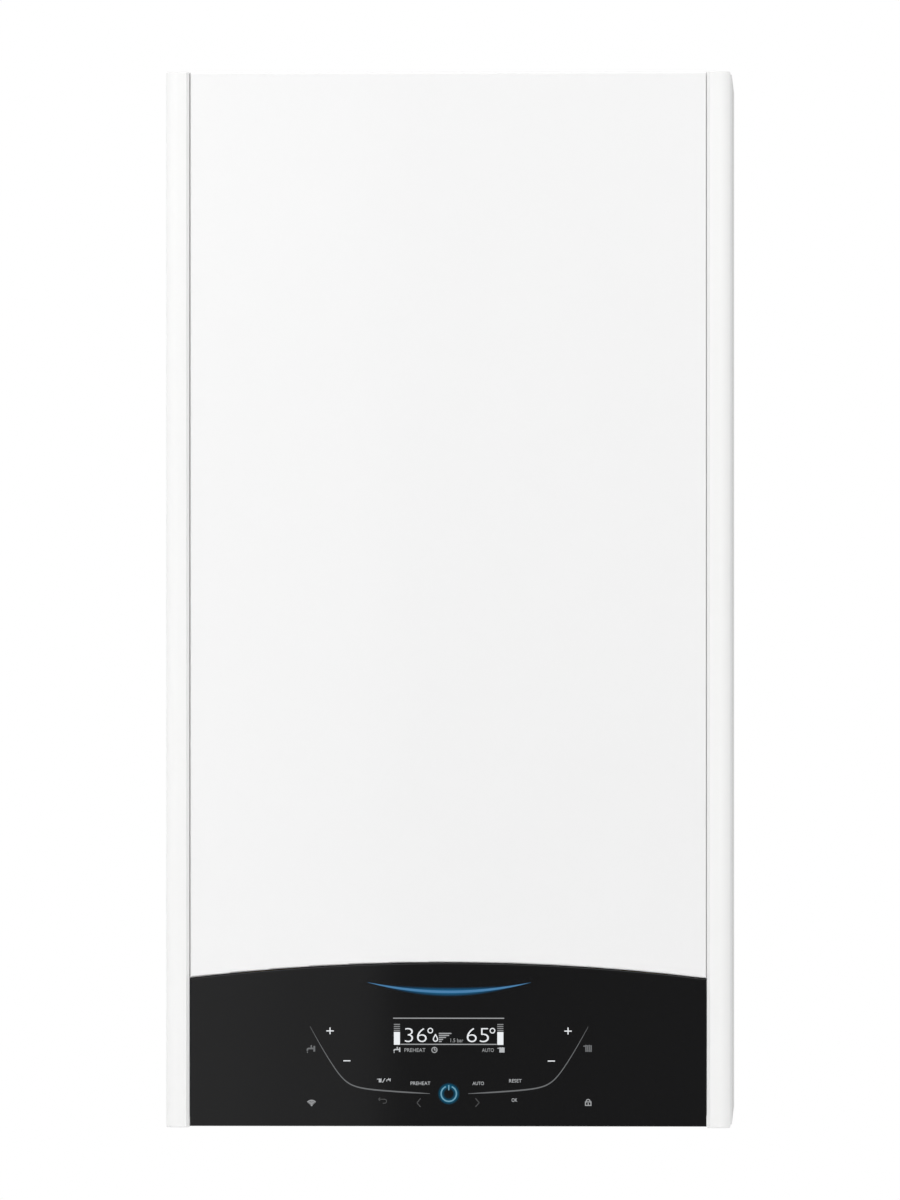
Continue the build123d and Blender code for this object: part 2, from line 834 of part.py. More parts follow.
with BuildPart() as hinge_brackets:
    foot_depth = pivot_depth - 3 * ear_radius
    for side in (-1, 1):
        with BuildSketch(level_at(pivot_height - hinge_below)):
            inner_x = side * hinge_inner
            outer_x = side * inner_half
            fold = side * frame_sheet
            arm = sorted((inner_x, inner_x + fold))
            add(span(arm[0], arm[1], -(pivot_depth + ear_radius), -foot_depth))
            bridge = sorted((inner_x, outer_x))
            add(span(bridge[0], bridge[1], -(foot_depth + frame_sheet), -foot_depth))
            leg = sorted((outer_x, outer_x - fold))
            add(span(leg[0], leg[1], -(foot_depth + frame_sheet), -(foot_depth - 2 * ear_radius)))
        extrude(amount=4 * ear_radius)
        with BuildSketch(side_at(side * hinge_inner)):
            with Locations((pivot_depth, pivot_height)):
                Circle(pivot_radius)
        extrude(amount=-side * frame_sheet, mode=Mode.SUBTRACT)
hinge_brackets.part.label = "hinge_brackets"
export_step(hinge_brackets.part, "parts/hinge_brackets.step")

with BuildPart() as hinge_pins:
    for side in (-1, 1):
        with BuildSketch(side_at(side * (hinge_inner + frame_sheet))):
            with Locations((pivot_depth, pivot_height)):
                Circle(pivot_radius)
        extrude(amount=side * (frame_sheet + ear_gap + ear_thickness))
hinge_pins.part.label = "hinge_pins"
export_step(hinge_pins.part, "parts/hinge_pins.step")

# ---------------------------------------------------------------- flue and air

with BuildPart() as flue_socket:
    socket_radius = flue_bore + flue_wall
    seat_height = flue_socket_low + back_lip - sheet
    with BuildSketch(level_at(top_surface)):
        with Locations((0, -flue_depth)):
            RectangleRounded(2 * flue_plate_half, 2 * flue_plate_half, flue_bore / 3)
            Circle(air_collar_bore, mode=Mode.SUBTRACT)
            with PolarLocations(flue_screw_circle / 2, 4, start_angle=45):
                Circle(flue_screw_radius, mode=Mode.SUBTRACT)
    extrude(amount=flue_plate)
    with BuildSketch(level_at(top_surface)):
        with Locations((0, -flue_depth)):
            Circle(air_collar_bore + flue_wall)
            Circle(air_collar_bore, mode=Mode.SUBTRACT)
    extrude(amount=collar_rim - top_surface)
    # three ribs hold the inner pipe in the middle of the air collar
    with BuildSketch(level_at(top_surface)):
        with Locations((0, -flue_depth)):
            with PolarLocations((socket_radius + air_collar_bore) / 2, 3, start_angle=90):
                Rectangle(air_collar_bore - socket_radius + flue_wall, flue_plate)
    extrude(amount=2 * flue_plate)
    with BuildSketch(level_at(flue_socket_low)):
        with Locations((0, -flue_depth)):
            Circle(socket_radius)
    extrude(amount=collar_rim - flue_socket_low)
    with BuildSketch(level_at(flue_socket_low)):
        with Locations((0, -flue_depth)):
            Circle(flue_pipe_radius + pin_clearance)
    extrude(amount=seat_height - flue_socket_low, mode=Mode.SUBTRACT)
    with BuildSketch(level_at(seat_height)):
        with Locations((0, -flue_depth)):
            Circle(flue_bore)
    extrude(amount=collar_rim - seat_height, mode=Mode.SUBTRACT)
flue_socket.part.label = "flue_socket"
export_step(flue_socket.part, "parts/flue_socket.step")

spigot_top = drum_height + drum_radius + flue_spigot_rise
pipe_seat = spigot_top - 2 * drum_wall
with BuildPart() as flue_pipe:
    with BuildSketch(level_at(pipe_seat)):
        with Locations((0, -flue_depth)):
            Circle(flue_pipe_radius)
            Circle(flue_pipe_radius - burner_wall, mode=Mode.SUBTRACT)
    extrude(amount=seat_height - flue_pipe_room - pipe_seat)
flue_pipe.part.label = "flue_pipe"
export_step(flue_pipe.part, "parts/flue_pipe.step")

with BuildPart() as air_cover:
    with BuildSketch(level_at(top_surface)):
        with Locations((air_cover_across, -flue_depth)):
            Circle(air_cover_radius)
    extrude(amount=flue_plate)
    with BuildSketch(level_at(top_surface + flue_plate)):
        with Locations((air_cover_across, -flue_depth)):
            with PolarLocations(air_cover_radius - screw_head_radius - screw_margin, 3, start_angle=90):
                Circle(screw_head_radius)
    extrude(amount=screw_radius)
air_cover.part.label = "air_cover"
export_step(air_cover.part, "parts/air_cover.step")

# ---------------------------------------------------------------- heat exchanger and burner

with BuildPart() as exchanger_shell:
    with BuildSketch(face_at(drum_rear)):
        with Locations((0, drum_height)):
            Circle(drum_radius)
    extrude(amount=drum_front - drum_rear)
    with BuildSketch(face_at(drum_front - drum_flange)):
        with Locations((0, drum_height)):
            Circle(drum_flange_radius)
    extrude(amount=drum_flange)
    with BuildSketch(level_at(drum_height)):
        with Locations((0, -flue_depth)):
            Circle(flue_pipe_radius + drum_wall)
    extrude(amount=spigot_top - drum_height)
    for across in (flow_spigot_across, return_spigot_across):
        with BuildSketch(level_at(spigot_low)):
            with Locations((across, -tail_depth)):
                Circle(water_pipe_radius + spigot_wall)
        extrude(amount=drum_height - drum_radius / 2 - spigot_low)
    with BuildSketch(level_at(drain_spigot_low)):
        with Locations((trap_across, -trap_depth)):
            Circle(hose_radius)
    extrude(amount=drum_height - drum_radius / 2 - drain_spigot_low)
    with BuildSketch(face_at(drum_rear + drum_wall)):
        with Locations((0, drum_height)):
            Circle(drum_radius - drum_wall)
    extrude(amount=drum_front - drum_rear - drum_wall, mode=Mode.SUBTRACT)
    with BuildSketch(level_at(drum_height)):
        with Locations((0, -flue_depth)):
            Circle(flue_pipe_radius - drum_wall)
    extrude(amount=spigot_top - drum_height, mode=Mode.SUBTRACT)
    with BuildSketch(level_at(pipe_seat)):
        with Locations((0, -flue_depth)):
            Circle(flue_pipe_radius + pin_clearance)
    extrude(amount=spigot_top - pipe_seat, mode=Mode.SUBTRACT)
exchanger_shell.part.label = "exchanger_shell"
export_step(exchanger_shell.part, "parts/exchanger_shell.step")

with BuildPart() as exchanger_coil:
    with BuildSketch(face_at(drum_rear + drum_wall)):
        with Locations((0, drum_height)):
            Circle(coil_outer)
            Circle(coil_inner, mode=Mode.SUBTRACT)
    extrude(amount=coil_length)
exchanger_coil.part.label = "exchanger_coil"
export_step(exchanger_coil.part, "parts/exchanger_coil.step")

with BuildPart() as exchanger_brackets:
    for side in (-1, 1):
        web_place = vessel_half + 2 * drum_wall
        bracket_in = sorted((side * (drum_radius - 3 * drum_wall), side * web_place))
        web = sorted((side * (web_place - hook_sheet), side * web_place))
        foot = sorted((side * web_place, side * (inner_half - 2 * drum_wall)))
        with BuildSketch(level_at(drum_height - vessel_corner)):
            add(span(bracket_in[0], bracket_in[1], -drum_rear, -(drum_rear - hook_sheet)))
            add(span(web[0], web[1], -drum_rear, -back_front))
            add(span(foot[0], foot[1], -(back_front + hook_sheet), -back_front))
        extrude(amount=2 * vessel_corner)
exchanger_brackets.part.label = "exchanger_brackets"
export_step(exchanger_brackets.part, "parts/exchanger_brackets.step")

with BuildPart() as burner:
    with BuildSketch(face_at(drum_front - burner_length)):
        with Locations((0, drum_height)):
            Circle(burner_radius)
    extrude(amount=burner_length)
    offset(amount=-burner_wall, openings=burner.faces().sort_by(Axis.Y)[0])
burner.part.label = "burner"
export_step(burner.part, "parts/burner.step")

outlet_right = fan_across + scroll_start + scroll_growth
outlet_left = outlet_right - outlet_width
outlet_mid = (outlet_left + outlet_right) / 2
with BuildPart() as burner_door:
    with BuildSketch(face_at(drum_front)):
        with Locations((0, drum_height)):
            Circle(drum_flange_radius)
    extrude(amount=door_plate)
    with BuildSketch(face_at(drum_front + door_plate)):
        with Locations((0, drum_height)):
            Circle(dome_radius)
        with BuildLine():
            duct_foot = Vector(0, drum_height)
            duct_head = Vector(outlet_mid, outlet_low - duct_flange)
            across_duct = (duct_head - duct_foot).normalized().rotate(Axis.Z, 90) * duct_width / 2
            Polyline(
                duct_foot + across_duct,
                duct_head - Vector(duct_width / 2, 0),
                duct_head + Vector(duct_width / 2, 0),
                duct_foot - across_duct,
                close=True,
            )
        make_face()
    extrude(amount=duct_height)
    front_rim = burner_door.faces().sort_by(Axis.Y)[0].edges()
    chamfer(front_rim, duct_flange)
    # flange under the fan's outlet
    with BuildSketch(level_at(outlet_low - duct_flange)):
        flange_margin = duct_flange
        add(
            span(
                outlet_left - flange_margin,
                outlet_right + flange_margin,
                -(fan_rear + fan_width),
                -(drum_front + door_plate / 2),
            )
        )
    extrude(amount=duct_flange)
    with BuildSketch(face_at(drum_front)):
        with Locations((0, drum_height)):
            with Locations(*electrode_places):
                Circle(insulator_radius + pin_clearance)
    extrude(amount=door_plate, mode=Mode.SUBTRACT)
burner_door.part.label = "burner_door"
export_step(burner_door.part, "parts/burner_door.step")

with BuildPart() as electrodes:
    for across, rise in electrode_places:
        with BuildSketch(face_at(drum_front)):
            with Locations((across, drum_height + rise)):
                Circle(insulator_radius)
        extrude(amount=door_plate)
        with BuildSketch(face_at(drum_front + door_plate)):
            with Locations((across, drum_height + rise)):
                Circle(insulator_collar)
        extrude(amount=door_plate)
        with BuildSketch(face_at(drum_front)):
            with Locations((across, drum_height + rise)):
                Circle(electrode_radius)
        extrude(amount=-burner_length / 2)
electrodes.part.label = "electrodes"
export_step(electrodes.part, "parts/electrodes.step")

# ---------------------------------------------------------------- fan, mixer and gas line

def scroll_face(inset):
    """The fan's spiral with its outlet, drawn smaller by a wall."""
    with BuildSketch() as made:
        with BuildLine():
            spiral = []
            for count in range(2 * scroll_arcs + 1):
                share = count / (2 * scroll_arcs)
                reach = scroll_start + scroll_growth * share - inset
                turn = radians(-360 * share)
                spiral.append((fan_across + reach * cos(turn), fan_height + reach * sin(turn)))
            for count in range(0, 2 * scroll_arcs, 2):
                ThreePointArc(*spiral[count : count + 3])
            Line(spiral[-1], spiral[0])
        make_face()
        add(span(outlet_left + inset, outlet_right - inset, outlet_low, fan_height))
    return made.sketch


with BuildPart() as fan_housing:
    with BuildSketch(face_at(fan_rear)):
        add(scroll_face(0))
    extrude(amount=fan_width)
    with BuildSketch(face_at(fan_rear + fan_wall)):
        add(scroll_face(fan_wall))
    extrude(amount=fan_width - 2 * fan_wall, mode=Mode.SUBTRACT)
    with BuildSketch(face_at(fan_rear + fan_wall)):
        with Locations((fan_across, fan_height)):
            Circle(impeller_hub + hub_room)
    extrude(amount=-fan_wall, mode=Mode.SUBTRACT)
    with BuildSketch(face_at(fan_rear + fan_width)):
        with Locations((fan_across, fan_height)):
            Circle(impeller_eye)
    extrude(amount=-fan_wall, mode=Mode.SUBTRACT)
fan_housing.part.label = "fan_housing"
export_step(fan_housing.part, "parts/fan_housing.step")

# One backward-leaning blade, drawn about the wheel's centre
with BuildSketch() as blade:
    with BuildLine():
        inner_end = Vector(impeller_eye, 0)
        outer_end = Vector(impeller_radius, 0).rotate(Axis.Z, -blade_lean)
        middle = (inner_end + outer_end) / 2 + (outer_end - inner_end).rotate(Axis.Z, 90) / 6
        Polyline(inner_end, middle, outer_end)
    trace(line_width=blade_thickness)

wheel_rear = fan_rear + fan_wall + fan_running_gap
wheel_front = fan_rear + fan_width - fan_wall - fan_running_gap
with BuildPart() as fan_impeller:
    with BuildSketch(face_at(wheel_rear)):
        with Locations((fan_across, fan_height)):
            Circle(impeller_radius)
    extrude(amount=blade_thickness)
    with BuildSketch(face_at(wheel_rear + blade_thickness)):
        for count in range(blade_count):
            turned = Pos(fan_across, fan_height) * Rot(0, 0, 360 * count / blade_count) * blade.sketch
            add(turned)
    extrude(amount=wheel_front - wheel_rear - 2 * blade_thickness)
    with BuildSketch(face_at(wheel_front - blade_thickness)):
        with Locations((fan_across, fan_height)):
            Circle(impeller_radius)
            Circle(impeller_eye + blade_thickness, mode=Mode.SUBTRACT)
    extrude(amount=blade_thickness)
    with BuildSketch(face_at(wheel_rear)):
        with Locations((fan_across, fan_height)):
            Circle(impeller_hub)
    extrude(amount=(wheel_front - wheel_rear) / 2)
    with BuildSketch(face_at(wheel_rear)):
        with Locations((fan_across, fan_height)):
            Circle(shaft_radius)
    extrude(amount=-(wheel_rear - fan_rear + shaft_seat))
fan_impeller.part.label = "fan_impeller"
export_step(fan_impeller.part, "parts/fan_impeller.step")

with BuildPart() as fan_motor:
    with BuildSketch(face_at(fan_rear - fan_motor_length)):
        with Locations((fan_across, fan_height)):
            Circle(fan_motor_radius)
    extrude(amount=fan_motor_length)
    chamfer(fan_motor.faces().sort_by(Axis.Y)[-1].edges(), fan_wall)
    with BuildSketch(face_at(fan_rear)):
        with Locations((fan_across, fan_height)):
            Circle(shaft_radius + shaft_clearance)
    extrude(amount=-(shaft_seat + blind_room), mode=Mode.SUBTRACT)
fan_motor.part.label = "fan_motor"
export_step(fan_motor.part, "parts/fan_motor.step")

mixer_rear = fan_rear + fan_width
mixer_mid = mixer_rear + mixer_depth / 2
mixer_gas_low = fan_height - mixer_radius - mixer_gas_reach
silencer_side = -inner_half + silencer_width
intake_outer = mixer_depth / 2 - mixer_rim
with BuildPart() as gas_mixer:
    with BuildSketch(face_at(mixer_rear)):
        with Locations((fan_across, fan_height)):
            Circle(mixer_radius)
    extrude(amount=mixer_depth)
    with BuildSketch(side_at(fan_across)):
        with Locations((mixer_mid, fan_height)):
            Circle(intake_outer)
    extrude(amount=fan_across - silencer_side)
    with BuildSketch(level_at(mixer_gas_low)):
        with Locations((fan_across, -mixer_mid)):
            Circle(gas_feed_radius + port_wall)
    extrude(amount=mixer_radius)
    with BuildSketch(face_at(mixer_rear)):
        with Locations((fan_across, fan_height)):
            Circle(impeller_eye)
    extrude(amount=mixer_depth - fan_wall, mode=Mode.SUBTRACT)
    with BuildSketch(side_at(fan_across)):
        with Locations((mixer_mid, fan_height)):
            Circle(intake_outer - fan_wall)
    extrude(amount=fan_across - silencer_side, mode=Mode.SUBTRACT)
gas_mixer.part.label = "gas_mixer"
export_step(gas_mixer.part, "parts/gas_mixer.step")

with BuildPart() as air_silencer:
    with BuildSketch(level_at(fan_height - silencer_below)):
        add(span(-inner_half, silencer_side, -(mixer_mid + silencer_ahead), -(mixer_mid - silencer_behind)))
    extrude(amount=silencer_below + silencer_above)
    offset(amount=-trim_wall, openings=air_silencer.faces().sort_by(Axis.Z)[0])
    with BuildSketch(side_at(silencer_side)):
        with Locations((mixer_mid, fan_height)):
            Circle(intake_outer - fan_wall)
    extrude(amount=trim_wall, mode=Mode.SUBTRACT)
air_silencer.part.label = "air_silencer"
export_step(air_silencer.part, "parts/air_silencer.step")

with BuildPart() as gas_valve:
    with BuildSketch(level_at(valve_low + valve_spigot)):
        with Locations((valve_across, -valve_depth)):
            Rectangle(valve_width, valve_length)
    extrude(amount=valve_body - 2 * valve_spigot)
    chamfer(gas_valve.edges().filter_by(Axis.Z), valve_corner)
    with BuildSketch(level_at(valve_low)):
        with Locations((valve_across, -valve_depth)):
            RegularPolygon(gas_pipe_radius + port_nut, 8, major_radius=False)
    extrude(amount=valve_body)
    # two solenoid coils on the front face, outlet on the left
    with BuildSketch(face_at(valve_depth + valve_length / 2)):
        with Locations((valve_across, (valve_low + valve_high) / 2)):
            with GridLocations(0, 2 * solenoid_radius + solenoid_gap, 1, 2):
                Circle(solenoid_radius)
    extrude(amount=solenoid_radius)
    with BuildSketch(side_at(valve_across)):
        with Locations((valve_depth, valve_outlet_height)):
            Circle(gas_feed_radius + port_wall)
    extrude(amount=valve_width / 2 + outlet_reach)
gas_valve.part.label = "gas_valve"
export_step(gas_valve.part, "parts/gas_valve.step")

gas_turn = tail_top + 2 * gas_corner
outlet_end = valve_across - valve_width / 2 - outlet_reach
gas_supply = tube(
    [
        place(gas_across, tail_depth, tail_top),
        place(gas_across, tail_depth, gas_turn),
        place(gas_across, valve_depth, gas_turn),
        place(gas_across, valve_depth, valve_low),
    ],
    gas_corner,
    gas_pipe_radius,
)
gas_feed = tube(
    [
        place(outlet_end, valve_depth, valve_outlet_height),
        place(fan_across, valve_depth, valve_outlet_height),
        place(fan_across, mixer_mid, valve_outlet_height),
        place(fan_across, mixer_mid, mixer_gas_low),
    ],
    gas_corner,
    gas_feed_radius,
)
with BuildPart() as gas_pipes:
    add(gas_supply)
    add(gas_feed)
gas_pipes.part.label = "gas_pipes"
export_step(gas_pipes.part, "parts/gas_pipes.step")

with BuildPart() as igniter:
    with BuildSketch(level_at(igniter_low)):
        add(span(inner_half - igniter_width, inner_half, -(igniter_rear + igniter_depth), -igniter_rear))
    extrude(amount=igniter_height)
    chamfer(igniter.edges().filter_by(Axis.Z).group_by(Axis.X)[0], valve_corner)
    with BuildSketch(level_at(igniter_low)):
        with Locations((inner_half - igniter_width / 2, -(igniter_rear + igniter_depth / 2))):
            with GridLocations(0, igniter_depth / 2, 1, 2):
                Circle(insulator_radius)
    extrude(amount=-igniter_tower)
igniter.part.label = "igniter"
export_step(igniter.part, "parts/igniter.step")

# ---------------------------------------------------------------- water side

tail_sizes = {
    flow_across: heating_tail_radius,
    hot_across: water_tail_radius,
    gas_across: heating_tail_radius,
    cold_across: water_tail_radius,
    return_across: heating_tail_radius,
}
with BuildPart() as connection_tails:
    for across, radius in tail_sizes.items():
        collar_low = tail_low + tail_thread
        with Locations(place(across, tail_depth, tail_low)):
            Cylinder(radius, tail_thread, align=(Align.CENTER, Align.CENTER, Align.MIN))
        with BuildSketch(level_at(collar_low)):
            with Locations((across, -tail_depth)):
                RegularPolygon(radius + tail_collar, 6, major_radius=False)
        extrude(amount=4 * tail_collar)
        with Locations(place(across, tail_depth, collar_low)):
            Cylinder(radius - tail_wall, tail_top - collar_low, align=(Align.CENTER, Align.CENTER, Align.MIN))
connection_tails.part.label = "connection_tails"
export_step(connection_tails.part, "parts/connection_tails.step")

with BuildPart() as flow_group:
    with Locations(place(flow_across, tail_depth, tail_top)):
        Cylinder(tower_radius, tower_top - tail_top, align=(Align.CENTER, Align.CENTER, Align.MIN))
    with BuildSketch(side_at(-port_across + arm_radius)):
        with Locations((tail_depth, group_height)):
            Circle(arm_radius)
    extrude(amount=-flow_across - port_across + arm_radius)
    for across in (hot_across, -port_across):
        low = tail_top if across == hot_across else group_height
        high = group_height if across == hot_across else plate_low
        with Locations(place(across, tail_depth, low)):
            Cylinder(stub_radius, high - low, align=(Align.CENTER, Align.CENTER, Align.MIN))
    # foot on the bottom plate
    with BuildSketch(level_at(bottom_surface)):
        with Locations((relief_across, -tail_depth)):
            Rectangle(arm_radius, 2 * arm_radius)
    extrude(amount=group_height - bottom_surface)
    # bosses for the relief valve and the diverter in front
    with BuildSketch(face_at(tail_depth)):
        with Locations((relief_across, group_height)):
            Circle(relief_radius)
    extrude(amount=relief_rear - tail_depth)
    with BuildSketch(face_at(tail_depth)):
        with Locations((flow_across, diverter_height)):
            Circle(chamber_radius + port_wall)
    extrude(amount=diverter_face - tail_depth)
    with BuildSketch(face_at(chamber_rear)):
        with Locations((flow_across, diverter_height)):
            Circle(chamber_radius)
    extrude(amount=diverter_face - chamber_rear, mode=Mode.SUBTRACT)
flow_group.part.label = "flow_group"
export_step(flow_group.part, "parts/flow_group.step")

with BuildPart() as return_group:
    with Locations(place(return_across, tail_depth, tail_top)):
        Cylinder(return_tower_radius, pump_port - tail_top, align=(Align.CENTER, Align.CENTER, Align.MIN))
    with BuildSketch(side_at(return_across)):
        with Locations((tail_depth, group_height)):
            Circle(arm_radius)
    extrude(amount=return_across - port_across + arm_radius)
    for across, low, high in (
        (cold_across, tail_top, group_height),
        (filling_across, tail_top, group_height),
        (port_across, group_height, plate_low),
    ):
        with Locations(place(across, tail_depth, low)):
            Cylinder(stub_radius, high - low, align=(Align.CENTER, Align.CENTER, Align.MIN))
    with BuildSketch(level_at(bottom_surface)):
        with Locations(((cold_across + filling_across) / 2, -tail_depth)):
            Rectangle(arm_radius / 2, 2 * arm_radius)
    extrude(amount=group_height - bottom_surface)
return_group.part.label = "return_group"
export_step(return_group.part, "parts/return_group.step")

with BuildPart() as plate_exchanger:
    plate_pitch = plate_stack / plate_count
    with BuildSketch(face_at(plate_rear)):
        with Locations((0, (plate_low + plate_high) / 2)):
            Rectangle(2 * (plate_half - plate_corner), plate_high - plate_low - 2 * plate_groove)
            Rectangle(2 * (plate_half - plate_groove), plate_high - plate_low - 2 * plate_corner)
    extrude(amount=plate_stack)
    for count in range(plate_count):
        with BuildSketch(face_at(plate_rear + count * plate_pitch)):
            with Locations((0, (plate_low + plate_high) / 2)):
                RectangleRounded(2 * plate_half, plate_high - plate_low, plate_corner)
        extrude(amount=plate_pitch - plate_groove)
plate_exchanger.part.label = "plate_exchanger"
export_step(plate_exchanger.part, "parts/plate_exchanger.step")

with BuildPart() as diverter_motor:
    with BuildSketch(face_at(diverter_face)):
        with Locations((flow_across, diverter_height)):
            Rectangle(actuator_width, actuator_width)
    extrude(amount=actuator_length)
    chamfer(diverter_motor.edges().filter_by(Axis.Y), actuator_corner)
    with BuildSketch(face_at(diverter_face)):
        with Locations((flow_across, diverter_height)):
            Circle(spindle_radius + spindle_clearance)
    extrude(amount=plunger_thickness, mode=Mode.SUBTRACT)
    with BuildSketch(face_at(diverter_face + plunger_thickness)):
        with Locations((flow_across, diverter_height)):
            Circle(actuator_bore_radius)
    extrude(amount=actuator_length - 2 * plunger_thickness, mode=Mode.SUBTRACT)
diverter_motor.part.label = "diverter_motor"
export_step(diverter_motor.part, "parts/diverter_motor.step")

with BuildPart() as diverter_spindle:
    with BuildSketch(face_at(plunger_rear)):
        with Locations((flow_across, diverter_height)):
            Circle(plunger_radius)
    extrude(amount=plunger_thickness)
    with BuildSketch(face_at(plunger_rear)):
        with Locations((flow_across, diverter_height)):
            Circle(spindle_radius)
    extrude(amount=diverter_face + 2 * plunger_thickness - plunger_rear)
diverter_spindle.part.label = "diverter_spindle"
export_step(diverter_spindle.part, "parts/diverter_spindle.step")

relief_face = relief_rear + relief_body
with BuildPart() as relief_valve:
    with BuildSketch(face_at(relief_rear)):
        with Locations((relief_across, group_height)):
            RegularPolygon(relief_radius, 6, major_radius=False)
    extrude(amount=relief_body)
    with Locations(place(relief_across, relief_mid, tail_low)):
        Cylinder(relief_drain_radius, spigot_length, align=(Align.CENTER, Align.CENTER, Align.MIN))
    with Locations(place(relief_across, relief_mid, tail_low + spigot_length)):
        Cylinder(
            relief_pipe_radius,
            group_height - tail_low - spigot_length,
            align=(Align.CENTER, Align.CENTER, Align.MIN),
        )
    with BuildSketch(face_at(relief_face)):
        with Locations((relief_across, group_height)):
            Circle(shaft_radius + shaft_clearance)
    extrude(amount=-relief_body / 2, mode=Mode.SUBTRACT)
relief_valve.part.label = "relief_valve"
export_step(relief_valve.part, "parts/relief_valve.step")

with BuildPart() as relief_knob:
    with BuildSketch(face_at(relief_face)):
        with Locations((relief_across, group_height)):
            RegularPolygon(relief_knob_radius, 8)
    extrude(amount=relief_knob_length)
    chamfer(relief_knob.faces().sort_by(Axis.Y)[0].edges(), relief_knob_edge)
    with BuildSketch(face_at(relief_face)):
        with Locations((relief_across, group_height)):
            Circle(shaft_radius)
    extrude(amount=-(relief_body / 2 - blind_room))
relief_knob.part.label = "relief_knob"
export_step(relief_knob.part, "parts/relief_knob.step")

with BuildPart() as filling_tap:
    with Locations(place(filling_across, tail_depth, filling_low)):
        Cylinder(filling_radius, tail_top - filling_low, align=(Align.CENTER, Align.CENTER, Align.MIN))
        Cylinder(
            filling_stem_radius + spindle_clearance,
            filling_knob_height + blind_room,
            align=(Align.CENTER, Align.CENTER, Align.MIN),
            mode=Mode.SUBTRACT,
        )
filling_tap.part.label = "filling_tap"
export_step(filling_tap.part, "parts/filling_tap.step")

with BuildPart() as filling_knob:
    knob_low = filling_low - filling_knob_height
    with BuildSketch(level_at(knob_low)):
        with Locations((filling_across, -tail_depth)):
            Circle(filling_radius)
            Rectangle(2 * filling_knob_radius, filling_radius)
    extrude(amount=filling_knob_height)
    with Locations(place(filling_across, tail_depth, filling_low)):
        Cylinder(filling_stem_radius, filling_knob_height, align=(Align.CENTER, Align.CENTER, Align.MIN))
filling_knob.part.label = "filling_knob"
export_step(filling_knob.part, "parts/filling_knob.step")

with BuildPart() as pump_volute:
    with BuildSketch(face_at(volute_rear)):
        with Locations((pump_across, pump_height)):
            Circle(volute_radius)
    extrude(amount=volute_depth)
    with Locations(place(return_across, tail_depth, pump_port)):
        Cylinder(pump_inlet_radius, pump_height - pump_port, align=(Align.CENTER, Align.CENTER, Align.MIN))
    with Locations(place(outlet_across, tail_depth, pump_height)):
        Cylinder(
            water_pipe_radius + spigot_wall,
            pump_outlet - pump_height,
            align=(Align.CENTER, Align.CENTER, Align.MIN),
        )
    with Locations(place(vent_across, tail_depth, pump_height)):
        Cylinder(vent_neck_radius, vent_foot - pump_height, align=(Align.CENTER, Align.CENTER, Align.MIN))
    with BuildSketch(face_at(volute_rear + volute_wall)):
        with Locations((pump_across, pump_height)):
            Circle(volute_radius - volute_wall)
    extrude(amount=volute_depth - volute_wall, mode=Mode.SUBTRACT)
pump_volute.part.label = "pump_volute"
export_step(pump_volute.part, "parts/pump_volute.step")

pump_front = volute_rear + volute_depth
with BuildPart() as pump_motor:
    with BuildSketch(face_at(pump_front)):
        with Locations((pump_across, pump_height)):
            Rectangle(2 * volute_radius, 2 * volute_radius)
            Circle(volute_radius, mode=Mode.INTERSECT)
    extrude(amount=volute_wall)
    with BuildSketch(face_at(pump_front)):
        with Locations((pump_across, pump_height)):
            Circle(pump_motor_radius - volute_wall)
            with PolarLocations(pump_motor_radius - volute_wall, pump_fins):
                Rectangle(2 * volute_wall, volute_wall)
    extrude(amount=pump_motor_length)
    with BuildSketch(face_at(pump_front)):
        with Locations((pump_across, pump_height)):
            Circle(shaft_radius + shaft_clearance)
    extrude(amount=pump_motor_length / 2 + blind_room, mode=Mode.SUBTRACT)
pump_motor.part.label = "pump_motor"
export_step(pump_motor.part, "parts/pump_motor.step")

with BuildPart() as pump_rotor:
    rotor_rear = volute_rear + 2 * volute_wall
    with BuildSketch(face_at(rotor_rear)):
        with Locations((pump_across, pump_height)):
            Circle(rotor_radius)
    extrude(amount=rotor_width)
    with BuildSketch(face_at(rotor_rear)):
        with Locations((pump_across, pump_height)):
            Circle(shaft_radius)
    extrude(amount=pump_front + pump_motor_length / 2 - rotor_rear)
pump_rotor.part.label = "pump_rotor"
export_step(pump_rotor.part, "parts/pump_rotor.step")

with BuildPart() as air_vent:
    with Locations(place(vent_across, tail_depth, vent_foot)):
        Cylinder(vent_radius, vent_height, align=(Align.CENTER, Align.CENTER, Align.MIN))
    with Locations(place(vent_across, tail_depth, vent_foot + vent_height - vent_socket)):
        Cylinder(
            spindle_radius + spindle_clearance,
            vent_socket,
            align=(Align.CENTER, Align.CENTER, Align.MIN),
            mode=Mode.SUBTRACT,
        )
air_vent.part.label = "air_vent"
export_step(air_vent.part, "parts/air_vent.step")

with BuildPart() as vent_cap:
    with BuildSketch(level_at(vent_foot + vent_height)):
        with Locations((vent_across, -tail_depth)):
            RegularPolygon(vent_cap_radius, 8)
    extrude(amount=vent_cap_height)
    with BuildSketch(level_at(vent_foot + vent_height)):
        with Locations((vent_across, -tail_depth)):
            Circle(spindle_radius)
    extrude(amount=blind_room - vent_socket)
vent_cap.part.label = "vent_cap"
export_step(vent_cap.part, "parts/vent_cap.step")

flow_pipe = tube(
    [
        place(flow_spigot_across, tail_depth, spigot_low),
        place(flow_spigot_across, tail_depth, spigot_low - water_run),
        place(flow_across, tail_depth, spigot_low - water_drop),
        place(flow_across, tail_depth, tower_top),
    ],
    water_corner,
    water_pipe_radius,
)
return_pipe = tube(
    [
        place(outlet_across, tail_depth, pump_outlet),
        place(outlet_across, tail_depth, pump_outlet + water_run),
        place(return_spigot_across, tail_depth, spigot_low - water_run),
        place(return_spigot_across, tail_depth, spigot_low),
    ],
    water_corner,
    water_pipe_radius,
)

